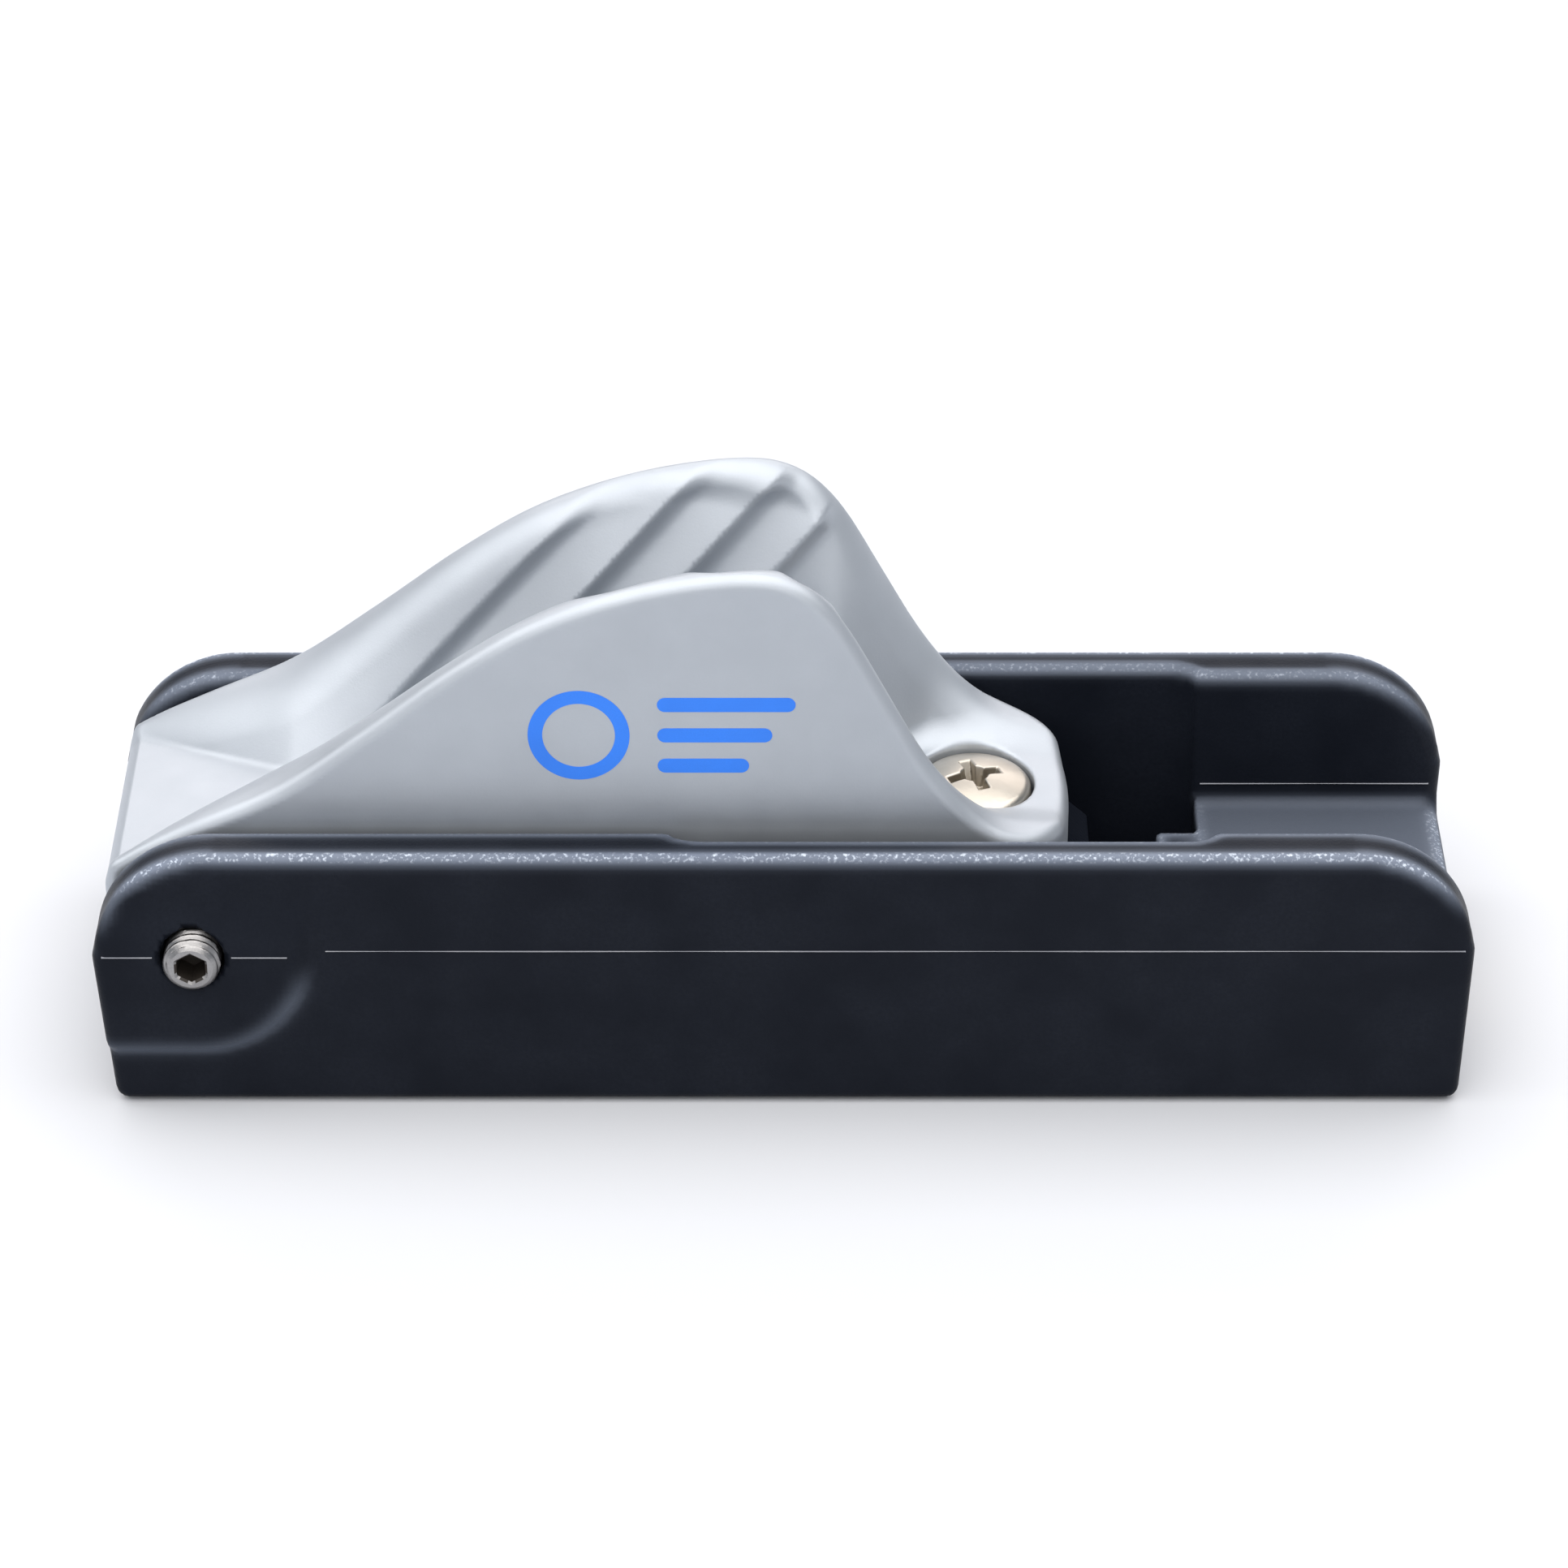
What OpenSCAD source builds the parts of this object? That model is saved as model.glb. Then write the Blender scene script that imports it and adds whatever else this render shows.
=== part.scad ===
// Hinged V-groove rope cleat with an overload release, in millimetres.
// The origin is at the middle of the base's underside. +X points away from the pivot,
// towards the release block. +Z is up, and the pivot pin runs along Y.

/* [Base channel] */
// Length of the base along X
base_len = 96; // [94:1:100]
// Width of the base across its walls
base_w = 28; // [28:0.2:30]
// Height of the side walls
base_h = 20.4; // [20.4:0.2:22]
// Radius of the big upper corners of the walls, seen from the side
corner_r = 8.4; // [7.2:0.2:8.8]
// Inside width of the channel at both ends
inner_w = 20.2; // [20.2:0.1:20.6]
// How far the inner faces step back along the middle of the channel
wall_relief = 1; // [0.4:0.1:1.4]
// Thickness of the channel's floor
floor_t = 3.2; // [2.6:0.1:3.2]
// Top of the raised release block
block_top = 9.5; // [9.5:0.1:10.5]
// Radius of the round bosses around the pivot
boss_r = 7.7; // [6.5:0.1:7.7]
// How far the pivot bosses stand out of the walls
boss_t = 0.8; // [0.4:0.1:1.2]

/* [Fixing holes] */
// Distance between the two fixing holes
fix_spacing = 36; // [34:1:38]
// Middle of the two fixing holes along X
fix_mid = -8; // [-10:1:-6]
// Diameter of the fixing holes
fix_d = 5.3; // [4.3:0.1:5.5]

/* [Pivot] */
// Distance from the middle of the base to the pivot
pivot_x = -41; // [-41:0.1:-40]
// Height of the pivot above the base's underside
pivot_z = 12.4; // [12.2:0.1:12.8]
// Diameter of the pivot screw
pivot_d = 4; // [3.8:0.1:4]

/* [Cleat] */
// Width of the cleat at its foot
cleat_w = 19; // [18:0.1:19]
// Height of the cleat's rims at the peak
peak_z = 39.6; // [38.6:0.1:40]
// Inside width of the groove between the rims
mouth_w = 12.6; // [11:0.1:13]
// Height of the bottom of the V
groove_z = 18.3; // [18:0.1:19]
// Number of gripping ribs on each wall
rib_count = 4; // [3:1:5]

/* [Release] */
// Travel of the detent plunger
plunger_travel = 2; // [1.6:0.1:2.2]
// Diameter of the plunger's shank
plunger_d = 4.4; // [4:0.1:4.4]
// Height of the plunger's axis
plunger_z = 4.9; // [4.8:0.1:5]
// Coils in the detent spring
coils = 6; // [4:1:7]
// Wire diameter of the detent spring
wire_d = 0.55; // [0.4:0.05:0.6]

/* [Hidden] */
$fn = 64;
eps = 0.05;

// Base: half sizes and the stations of its inside along X
half_len = base_len / 2;
half_w = base_w / 2;
half_in = inner_w / 2;
corner_z = base_h - corner_r;
relief_start = -6.5;
relief_end = 30;
block_start = 30;
tongue_start = 27;
tongue_half = 6.4;
foot_r = 1;
stop_top = 5.4;
stop_end = -42.5;
fix_x = [fix_mid - fix_spacing / 2, fix_mid + fix_spacing / 2];
fix_head_d = 10.4;
fix_head_depth = 1.6;

// Pivot: screw, insert and bushes
pivot_r = pivot_d / 2;
bush_r = 2.8;
bush_gap = 0.05;
bush_len = 6;
flange_r = 4;
flange_t = 0.5;
screw_mouth_r = 2.3;
screw_mouth_depth = 1.5;
screw_near_y = -(half_w + boss_t + 0.9);
screw_far_y = 13.4;
insert_r = 3;
insert_y = [10.4, 14.4];

// Cleat: stations and heights
cleat_half = cleat_w / 2;
nose_x = -47.2;
cleat_end = 20.2;
cavity_top = 14;
skirt_bottom = 9;
skirt_t = 2.4;
cavity_start = -33;
pivot_boss_r = 6;
pad_z = 18.2;
draft_deg = 2;
mouth_half = mouth_w / 2;
catch_screw_x = 13.5;
rib_last_x = 1.9;
rib_pitch = 6.05;
rib_ref_z = 35;
rib_lean = 46.5;
rib_above = 6;
rib_t = 1.2;
rib_depth = 0.7;

// Groove stations: where the V starts, its highest slice, its end, and the full rear scoop
v_start = -37;
v_mid = -14;
v_end = 4;
v_start_top = 22.6;
v_mid_top = peak_z - 2.4;
v_end_top = peak_z - 3.8;
scoop_x = 10;
scoop_half = 5;
scoop_top = 25;
rim_half = 7.4;
v_foot = 0.6;
rear_r = 4;
nose_r = 1;

// Catch screw: shank, head and its counterbore in the rear pad
catch_r = 2;
catch_clear_r = 2.15;
catch_tip_z = 4.7;
head_r = 3.9;
head_z = 15.7;
head_h = 2.9;
head_dome_r = 5.2;
counterbore_r = 4.3;
nut_across = 7;
nut_z = 6.4;
nut_t = 3.2;

// Hexagon sockets, across their flats
pivot_socket = 2;
adjuster_socket = 2.5;
socket_depth = 2.5;

// Release parts, all on one axis along X
strike_x = [22, 22.8];
nose_tip_x = strike_x[1] + 0.4 - plunger_travel;
nose_cone = 3;
nose_hole_r = 2;
stub_r = 1.4;
guide_x = [27.2, 31.2];
collar_x = [31.3, 33];
seat_x = 40;
seat_t = 1.2;
adjuster_x = [41.2, 47.2];
adjuster_insert_x = [41.6, 47.6];
adjuster_r = 2.5;
adjuster_insert_r = 3.5;
guide_r = 3.3;
trough_r = 2.5;
bore_r = 2.75;
collar_r = 2.6;
spring_r = 2;

nylon = [0.11, 0.12, 0.15];
alloy = [0.70, 0.74, 0.79];
steel = [0.62, 0.62, 0.62];
nickel = [0.78, 0.75, 0.70];
brass = [0.80, 0.65, 0.35];
acetal = [0.92, 0.91, 0.86];

// Points of the rims' top edge from nose to rear pad; the curve passes through each
rim = [[-47, 17.2], [-41, 20.1], [-35, 23], [-29, 27.4], [-23, 32.1], [-17, 35.9],
    [-10, peak_z - 1.1], [-3, peak_z], [1, peak_z - 0.8], [4, 35.9], [7, 30.4],
    [10, 24.9], [13, 21], [16, 19], [cleat_end, pad_z]];

// Catmull-Rom curve through p between points i and i + 1, at t from 0 to 1
function at(p, i) = p[max(0, min(len(p) - 1, i))];
function spline_point(p, i, t) = 0.5 * ((2 * at(p, i)) + (at(p, i + 1) - at(p, i - 1)) * t
    + (2 * at(p, i - 1) - 5 * at(p, i) + 4 * at(p, i + 1) - at(p, i + 2)) * t * t
    + (3 * at(p, i) - at(p, i - 1) - 3 * at(p, i + 1) + at(p, i + 2)) * t * t * t);
function spline(p, steps) = [for (i = [0:len(p) - 2], k = [0:steps - 1]) spline_point(p, i, k / steps),
    at(p, len(p) - 1)];
// Points along an arc from angle a0 to a1
function arc(cx, cy, r, a0, a1, steps) = [for (k = [0:steps]) let (a = a0 + (a1 - a0) * k / steps)
    [cx + r * cos(a), cy + r * sin(a)]];

// A flat outline in X and Z, made width wide and centred on Y
module across(width) {
    translate([0, width / 2, 0]) rotate([90, 0, 0]) linear_extrude(width) children();
}

// A bar along X, from x0 to x1, on the release axis
module on_axis(x0, x1, r1, r2) {
    translate([x0, 0, plunger_z]) rotate([0, 90, 0]) cylinder(h = x1 - x0, r1 = r1, r2 = r2);
}

// A pin along Y at the pivot, from y0 to y1
module on_pivot(y0, y1, r) {
    translate([pivot_x, y0, pivot_z]) rotate([-90, 0, 0]) cylinder(h = y1 - y0, r = r);
}

// Side outline of a wall: big upper corners and small feet
module wall_outline() {
    union() {
        translate([-half_len, foot_r]) square([base_len, corner_z - foot_r]);
        translate([-half_len + foot_r, 0]) square([base_len - 2 * foot_r, foot_r + eps]);
        translate([-half_len + corner_r, 1]) square([base_len - 2 * corner_r, base_h - 1]);
        for (s = [-1, 1]) {
            translate([s * (half_len - corner_r), corner_z]) circle(r = corner_r);
            translate([s * (half_len - foot_r), foot_r]) circle(r = foot_r);
        }
    }
}

// Raised boss round the pivot, below the moulding line, running out to the end of the wall
module boss_outline() {
    intersection() {
        union() {
            translate([pivot_x, pivot_z]) circle(r = boss_r);
            translate([-half_len, pivot_z - boss_r]) square([pivot_x + half_len, boss_r]);
        }
        translate([-half_len, 0]) square([half_len, pivot_z + 0.6]);
    }
}

// The space between the walls, with its stepped floor
module channel_space() {
    translate([-half_len - 1, -half_in, floor_t]) cube([block_start + half_len + 1, inner_w, base_h]);
    translate([-half_len - 1, -half_in, block_top]) cube([base_len + 2, inner_w, base_h]);
    translate([relief_start, -half_in - wall_relief, floor_t])
        cube([relief_end - relief_start, inner_w + 2 * wall_relief, base_h]);
}

module base_channel() {
    color(nylon) difference() {
        union() {
            difference() {
                union() {
                    across(base_w) wall_outline();
                    across(base_w + 2 * boss_t) boss_outline();
                }
                channel_space();
            }
            // tongue in front of the release block, round the plunger's guide
            translate([tongue_start, -tongue_half, 1])
                cube([block_start - tongue_start + 1, 2 * tongue_half, block_top - 1]);
            // stop that the cleat's nose meets when it has tipped right up
            translate([-half_len, -half_in - eps, 1])
                cube([stop_end + half_len, inner_w + 2 * eps, stop_top - 1]);
        }
        // pivot: a wide mouth, then a tapped hole, and the insert's seat in the far wall
        on_pivot(screw_near_y - 1, -half_w - boss_t + screw_mouth_depth, screw_mouth_r);
        on_pivot(-half_w - 1, insert_y[0] + eps, pivot_r);
        on_pivot(insert_y[0], half_w + boss_t + 1, insert_r);
        // fixing holes with flat-bottomed recesses for the screw heads
        for (x = fix_x) {
            translate([x, 0, -1]) cylinder(h = floor_t + 2, d = fix_d);
            translate([x, 0, floor_t - fix_head_depth]) cylinder(h = base_h, d = fix_head_d);
        }
        // trough in the floor that the plunger's nose slides along
        on_axis(strike_x[0] - 2, tongue_start + 1, trough_r, trough_r);
        // stepped bore for the release parts
        on_axis(tongue_start - 1, guide_x[1], guide_r, guide_r);
        on_axis(guide_x[1] - eps, adjuster_insert_x[0] + eps, bore_r, bore_r);
        on_axis(adjuster_insert_x[0], half_len + 1, adjuster_insert_r, adjuster_insert_r);
    }
}

// Screw-thread rings, wide enough apart to read as a thread
module thread_grooves(r, y0, pitch, turns) {
    for (i = [0:turns - 1]) {
        translate([pivot_x, y0 + pitch * (i + 0.5), pivot_z]) rotate([-90, 0, 0]) difference() {
            cylinder(h = pitch * 0.4, r = r + 1);
            translate([0, 0, -1]) cylinder(h = pitch * 0.4 + 2, r = r - 0.25);
        }
    }
}

module pivot_screw() {
    color(steel) difference() {
        on_pivot(screw_near_y, screw_far_y, pivot_r);
        // hexagon socket
        translate([pivot_x, screw_near_y - 1, pivot_z]) rotate([-90, 0, 0])
            cylinder(h = 3, r = pivot_socket / sqrt(3), $fn = 6);
        thread_grooves(pivot_r, screw_near_y, 0.7, 3);
    }
}

module pivot_insert() {
    color(brass) difference() {
        on_pivot(insert_y[0], insert_y[1], insert_r);
        on_pivot(insert_y[0] - 1, insert_y[1] + 1, pivot_r);
    }
}

// Flanged bush on one side: side is -1 for near and 1 for far
module pivot_bush(side) {
    y_face = side * cleat_half;
    y_in = side * (cleat_half - bush_len);
    y_out = side * (cleat_half + flange_t);
    color(acetal) difference() {
        union() {
            on_pivot(min(y_face, y_in), max(y_face, y_in), bush_r);
            on_pivot(min(y_face, y_out), max(y_face, y_out), flange_r);
        }
        on_pivot(min(y_in, y_out) - 1, max(y_in, y_out) + 1, pivot_r + bush_gap);
    }
}

// Side outline of the whole casting
module cleat_outline() {
    polygon(concat(
        spline(rim, 4),
        [[cleat_end, skirt_bottom], [-32, skirt_bottom]],
        arc(pivot_x, pivot_z, pivot_boss_r, -60, -180, 10),
        [[nose_x + 0.1, 16]]
    ));
}

// Plan outline of the casting, with rounded rear corners
module cleat_plan() {
    front = nose_x - 1;
    union() {
        translate([front + nose_r, -cleat_half]) square([cleat_end - front - nose_r - rear_r, cleat_w]);
        translate([front, -cleat_half + nose_r]) square([10, cleat_w - 2 * nose_r]);
        translate([0, -cleat_half + rear_r]) square([cleat_end, cleat_w - 2 * rear_r]);
        for (s = [-1, 1]) {
            translate([cleat_end - rear_r, s * (cleat_half - rear_r)]) circle(r = rear_r);
            translate([front + nose_r, s * (cleat_half - nose_r)]) circle(r = nose_r);
        }
    }
}

// A thin slice of the groove at x: half-width a at height z0, widening to b at height z1 and above
module groove_slice(x, a, z0, b, z1) {
    translate([x, 0, 0]) rotate([90, 0, 90]) linear_extrude(eps)
        polygon([[-a, z0], [a, z0], [b, z1], [b, 50], [-b, 50], [-b, z1]]);
}

module groove_mouth() {
    hull() {
        groove_slice(nose_x - 2, 8, 16.6, 8.6, 18);
        groove_slice(v_start, v_foot, groove_z, mouth_half, v_start_top);
    }
}

// The ribbed V; inset makes it narrower and shallower, for the crests of the ribs
module groove_v(inset) {
    half = mouth_half - inset;
    foot = groove_z + inset;
    hull() {
        groove_slice(v_start, v_foot, foot, half, v_start_top + inset);
        groove_slice(v_mid, v_foot, foot, half, v_mid_top);
    }
    hull() {
        groove_slice(v_mid, v_foot, foot, half, v_mid_top);
        groove_slice(v_end, v_foot, foot, half, v_end_top);
    }
}

module groove_rear() {
    hull() {
        groove_slice(v_end, v_foot, groove_z, mouth_half, v_end_top);
        groove_slice(scoop_x, scoop_half, pad_z, rim_half, scoop_top);
    }
    translate([scoop_x, 0, 0]) rotate([90, 0, 90]) linear_extrude(cleat_end - scoop_x + 1)
        polygon([[-scoop_half, pad_z], [scoop_half, pad_z], [rim_half, scoop_top], [rim_half, 50],
            [-rim_half, 50], [-rim_half, scoop_top]]);
}

// Ribs: slabs that lean towards the nose, spaced by rib_pitch at the height rib_ref_z
module rib_slabs() {
    for (i = [0:rib_count - 1]) {
        translate([rib_last_x - rib_pitch * i, -mouth_half - 1, rib_ref_z]) rotate([0, -rib_lean, 0])
            translate([-30, 0, 0]) cube([30 + rib_above, 2 * mouth_half + 2, rib_t]);
    }
}

module cleat_body() {
    color(alloy) difference() {
        intersection() {
            across(cleat_w) cleat_outline();
            linear_extrude(50) cleat_plan();
        }
        // draft on both side faces, above the level of the rear pad
        for (s = [0, 1]) mirror([0, s, 0]) translate([-60, cleat_half, pad_z]) rotate([draft_deg, 0, 0])
            cube([100, 5, 40]);
        // the rope groove, less its ribs
        difference() {
            union() {
                groove_mouth();
                groove_v(0);
                groove_rear();
            }
            difference() {
                rib_slabs();
                groove_v(rib_depth);
            }
        }
        // open underside between the skirts
        translate([cavity_start, -cleat_half + skirt_t, 0])
            cube([cleat_end - cavity_start + 1, cleat_w - 2 * skirt_t, cavity_top]);
        // cross bore for the pivot bushes
        on_pivot(-20, 20, bush_r);
        // counterbored hole for the catch screw
        translate([catch_screw_x, 0, head_z]) cylinder(h = 20, r = counterbore_r);
        translate([catch_screw_x, 0, 10]) cylinder(h = 10, r = catch_clear_r);
    }
}

module catch_block() {
    block_half = cleat_half - skirt_t - 0.1;
    color(nylon) difference() {
        across(2 * block_half) polygon([[8, cavity_top], [8, 8], [13, 3.5], [strike_x[0], 3.5],
            [strike_x[0], 10.5], [cleat_end - 0.4, 12.5], [cleat_end - 0.4, cavity_top]]);
        // pocket that the plunger's nose enters
        on_axis(nose_tip_x - 0.6, 30, nose_hole_r, nose_hole_r);
        // clearance for the screw, and the captive nut's pocket
        translate([catch_screw_x, 0, 0]) cylinder(h = 20, r = catch_clear_r);
        translate([catch_screw_x, 0, 0]) rotate([0, 0, 30])
            cylinder(h = nut_z + nut_t, r = (nut_across + 0.1) / sqrt(3), $fn = 6);
    }
}

module strike_plate() {
    color(steel) difference() {
        translate([strike_x[0], -5, 3.7]) cube([strike_x[1] - strike_x[0], 10, 5.8]);
        on_axis(20, 30, nose_hole_r, nose_hole_r);
    }
}

// Pan-head screw with a cross recess
module catch_screw() {
    color(nickel) difference() {
        union() {
            translate([catch_screw_x, 0, head_z]) cylinder(h = 1.2, r = head_r);
            intersection() {
                translate([catch_screw_x, 0, head_z + head_h - head_dome_r]) sphere(r = head_dome_r);
                translate([catch_screw_x, 0, head_z + 1]) cylinder(h = head_h, r = head_r);
            }
            translate([catch_screw_x, 0, catch_tip_z]) cylinder(h = head_z - catch_tip_z + eps, r = catch_r);
        }
        for (a = [0, 90]) translate([catch_screw_x, 0, head_z + head_h]) rotate([0, 0, a + 20])
            cube([4.2, 0.9, 3.2], center = true);
    }
}

module catch_nut() {
    color(steel) difference() {
        translate([catch_screw_x, 0, nut_z]) rotate([0, 0, 30])
            cylinder(h = nut_t, r = nut_across / sqrt(3), $fn = 6);
        translate([catch_screw_x, 0, 0]) cylinder(h = 20, r = catch_r);
    }
}

module plunger_guide() {
    color(brass) difference() {
        on_axis(guide_x[0], guide_x[1], guide_r, guide_r);
        on_axis(guide_x[0] - 1, guide_x[1] + 1, plunger_d / 2 + bush_gap, plunger_d / 2 + bush_gap);
    }
}

module detent_plunger() {
    shank_r = plunger_d / 2;
    color(steel) union() {
        on_axis(nose_tip_x, nose_tip_x + nose_cone, 1, shank_r);
        on_axis(nose_tip_x + nose_cone, collar_x[0] + eps, shank_r, shank_r);
        on_axis(collar_x[0], collar_x[1], collar_r, collar_r);
        on_axis(collar_x[1], collar_x[1] + 1.5, stub_r, stub_r);
    }
}

// Spring as a row of rings joined in one solid by a thin tie, which stands in for the helix
module detent_spring() {
    length = seat_x - collar_x[1];
    pitch = (length - wire_d) / (coils - 1);
    color(steel) union() {
        for (i = [0:coils - 1]) translate([collar_x[1] + wire_d / 2 + pitch * i, 0, plunger_z])
            rotate([0, 90, 0]) rotate_extrude() translate([spring_r, 0]) circle(d = wire_d, $fn = 24);
        translate([collar_x[1], -wire_d / 4, plunger_z + spring_r - wire_d / 4])
            cube([length, wire_d / 2, wire_d / 2]);
    }
}

module spring_seat() {
    color(steel) union() {
        on_axis(seat_x, seat_x + seat_t, collar_r, collar_r);
        on_axis(seat_x - 1.2, seat_x + eps, stub_r, stub_r);
    }
}

module adjuster_screw() {
    color(steel) difference() {
        on_axis(adjuster_x[0], adjuster_x[1], adjuster_r, adjuster_r);
        translate([adjuster_x[1] - socket_depth, 0, plunger_z]) rotate([0, 90, 0])
            cylinder(h = 5, r = adjuster_socket / sqrt(3), $fn = 6);
    }
}

module adjuster_insert() {
    color(brass) difference() {
        on_axis(adjuster_insert_x[0], adjuster_insert_x[1], adjuster_insert_r, adjuster_insert_r);
        on_axis(adjuster_insert_x[0] - 1, adjuster_insert_x[1] + 1, adjuster_r + bush_gap,
            adjuster_r + bush_gap);
    }
}

base_channel();
pivot_screw();
pivot_insert();
cleat_body();
pivot_bush(-1);  // pivot_bush_near
pivot_bush(1);  // pivot_bush_far
catch_block();
strike_plate();
catch_screw();
catch_nut();
plunger_guide();
detent_plunger();
detent_spring();
spring_seat();
adjuster_screw();
adjuster_insert();
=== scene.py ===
import math

import bmesh
import bpy
import numpy as np
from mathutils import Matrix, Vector


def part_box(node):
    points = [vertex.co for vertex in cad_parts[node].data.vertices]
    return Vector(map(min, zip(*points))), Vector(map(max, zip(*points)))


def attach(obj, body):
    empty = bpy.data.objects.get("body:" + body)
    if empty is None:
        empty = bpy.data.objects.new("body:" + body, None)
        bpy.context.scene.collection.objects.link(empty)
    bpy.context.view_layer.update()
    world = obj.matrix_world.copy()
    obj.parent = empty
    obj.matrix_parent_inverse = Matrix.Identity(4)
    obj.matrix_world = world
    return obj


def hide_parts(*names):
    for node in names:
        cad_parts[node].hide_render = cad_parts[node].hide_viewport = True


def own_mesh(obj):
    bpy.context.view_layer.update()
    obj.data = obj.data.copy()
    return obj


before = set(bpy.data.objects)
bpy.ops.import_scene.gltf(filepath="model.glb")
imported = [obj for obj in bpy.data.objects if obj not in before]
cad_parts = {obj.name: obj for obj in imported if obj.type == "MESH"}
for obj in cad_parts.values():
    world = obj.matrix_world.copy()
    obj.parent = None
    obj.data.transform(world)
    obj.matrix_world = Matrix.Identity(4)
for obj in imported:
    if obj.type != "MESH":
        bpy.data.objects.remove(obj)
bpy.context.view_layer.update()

# Shapes are worked out in millimetres in the CAD frame and written to Blender in metres.
MM = 0.001


# ---------------------------------------------------------------- places, read from the frame

def corners(node):
    """Lowest and highest corner of a CAD node, in millimetres."""
    low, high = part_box(node)
    return np.array(low) / MM, np.array(high) / MM


def middle(node):
    """Middle of a CAD node's box, in millimetres."""
    low, high = corners(node)
    return (low + high) / 2


base_low, base_high = corners("base_channel")
cleat_low, cleat_high = corners("cleat_body")
PIVOT = middle("pivot_insert")
RELEASE_Z = middle("adjuster_insert")[2]
CATCH = middle("catch_nut")

HALF_LEN = base_high[0]
HALF_W = 14.0
BOSS_RISE = base_high[1] - HALF_W
BASE_TOP = base_high[2]
PARTING_Z = 12.75
INNER_PARTING_Z = 11.2

PEAK_Z = cleat_high[2]
NOSE_X = cleat_low[0] - 0.35
CLEAT_END = cleat_high[0]
CLEAT_HALF = cleat_high[1]
PAD_Z = 18.2
DRAFT = math.radians(2)


# ---------------------------------------------------------------- shape fields
# A field is a function of x, y and z in millimetres: negative inside the shape, zero on its
# surface. Names ending in _R are radii, and names ending in _EDGE the radius of a broken edge.

def round_and(a, b, r):
    """Where two shapes overlap, with the edge between them rounded to radius r."""
    overlap = np.minimum(-r, np.maximum(a, b))
    return overlap + np.hypot(np.maximum(a + r, 0), np.maximum(b + r, 0))


def round_or(a, b, r):
    """Two shapes together, with a fillet of radius r between them."""
    union = np.maximum(r, np.minimum(a, b))
    return union - np.hypot(np.maximum(r - a, 0), np.maximum(r - b, 0))


def smoothstep(t):
    """0 below 0, 1 above 1, and a smooth rise between."""
    t = np.clip(t, 0, 1)
    return t * t * (3 - 2 * t)


def soft_line(xs, ys, blur, low=-60.0, high=60.0, step=0.1):
    """A function through straight stretches between stations xs, with its corners blurred."""
    grid = np.arange(low, high, step)
    reach = int(4 * blur / step)
    kernel = np.exp(-0.5 * (np.arange(-reach, reach + 1) * step / blur) ** 2)
    kernel /= kernel.sum()
    padded = np.pad(np.interp(grid, xs, ys), reach, mode="edge")
    values = np.convolve(padded, kernel, mode="valid")
    return lambda x: np.interp(x, grid, values)


def catmull(points, steps):
    """A smooth curve through every point, with so many steps between two of them."""
    p = np.array([points[0]] + list(points) + [points[-1]], float)
    out = []
    for i in range(1, len(p) - 2):
        a, b, c, d = p[i - 1], p[i], p[i + 1], p[i + 2]
        for t in np.arange(steps) / steps:
            out.append(0.5 * (2 * b + (c - a) * t + (2 * a - 5 * b + 4 * c - d) * t ** 2
                              + (3 * b - a - 3 * c + d) * t ** 3))
    out.append(p[-2])
    return np.array(out)


# Top edge of the two rims from nose to rear pad, as (x, z)
RIM = [(-47, 17.2), (-41, 20.1), (-35, 23), (-29, 27.4), (-23, 32.1), (-17, 35.9),
       (-10, PEAK_Z - 1.1), (-3, PEAK_Z), (1, PEAK_Z - 0.8), (4, 35.9), (7, 30.4),
       (10, 24.9), (13, 21), (16, 19), (CLEAT_END, PAD_Z)]
RIM_BLUR = 0.5
RIM_STEP = 0.1
RIM_SPAN = np.arange(-59, 59, RIM_STEP)

rim_curve = catmull(RIM, 16)
rim_z = soft_line(rim_curve[:, 0], rim_curve[:, 1], RIM_BLUR)
rim_slope = soft_line(RIM_SPAN, np.gradient(rim_z(RIM_SPAN), RIM_STEP), RIM_BLUR)

# The groove at stations along X: foot and top of its walls as half width and height. Its floor
# falls at the nose as a ramp that widens from the foot of the V.
STATIONS = [NOSE_X, -45.5, -42, -35, -14, 4, 10, 20.2]
V_FOOT = 18.3
foot_half = soft_line(STATIONS, [8.6, 7.3, 5.0, 0.6, 0.6, 0.6, 5.0, 5.0], 0.9)
top_half = soft_line(STATIONS, [9.0, 7.8, 6.8, 5.9, 5.85, 5.85, 7.3, 7.4], 1.5)
top_z = soft_line(STATIONS, [17.3, 18.3, 19.9, 23.7, 37.2, 35.8, 25.0, 22.0], 1.8)
foot_fillet = soft_line([-47, -37, 4, 10], [0.25, 0.3, 0.5, 1.7], 1.0)
ramp_z = soft_line([NOSE_X, -35, 4, 10], [16.5, V_FOOT, V_FOOT, PAD_Z], 0.2)
LEAST_RISE = 0.8
ABOVE_TOP = 0.04
BELOW_FOOT = 0.05

# Ribs: crest lines lean towards the nose; each has a steep face, a round valley and a land
# behind it. RIB_FACE is the face's share of the pitch. Near the rims the ribs fade to the first
# of RIB_FADE over the second, and the valley behind the last rib to RIB_TAIL in the same way.
RIB_COUNT = 4
RIB_PITCH = 6.05
RIB_FIRST_X = -16.3
RIB_REF_Z = 35.0
RIB_LEAN = math.radians(46.5)
RIB_DEPTH = 0.98
RIB_PROUD = 0.25
RIB_FACE = 0.34
RIB_LAND_BEND = 1.35
RIB_FADE = (0.85, 2.0)
RIB_TAIL = (0.25, 1.2)
RIB_RIM_GAP = 0.6
RIB_BLUR = 0.19
VALLEY_BLUR = 0.3
RIB_SPAN = (-30, 60, 0.03)


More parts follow.
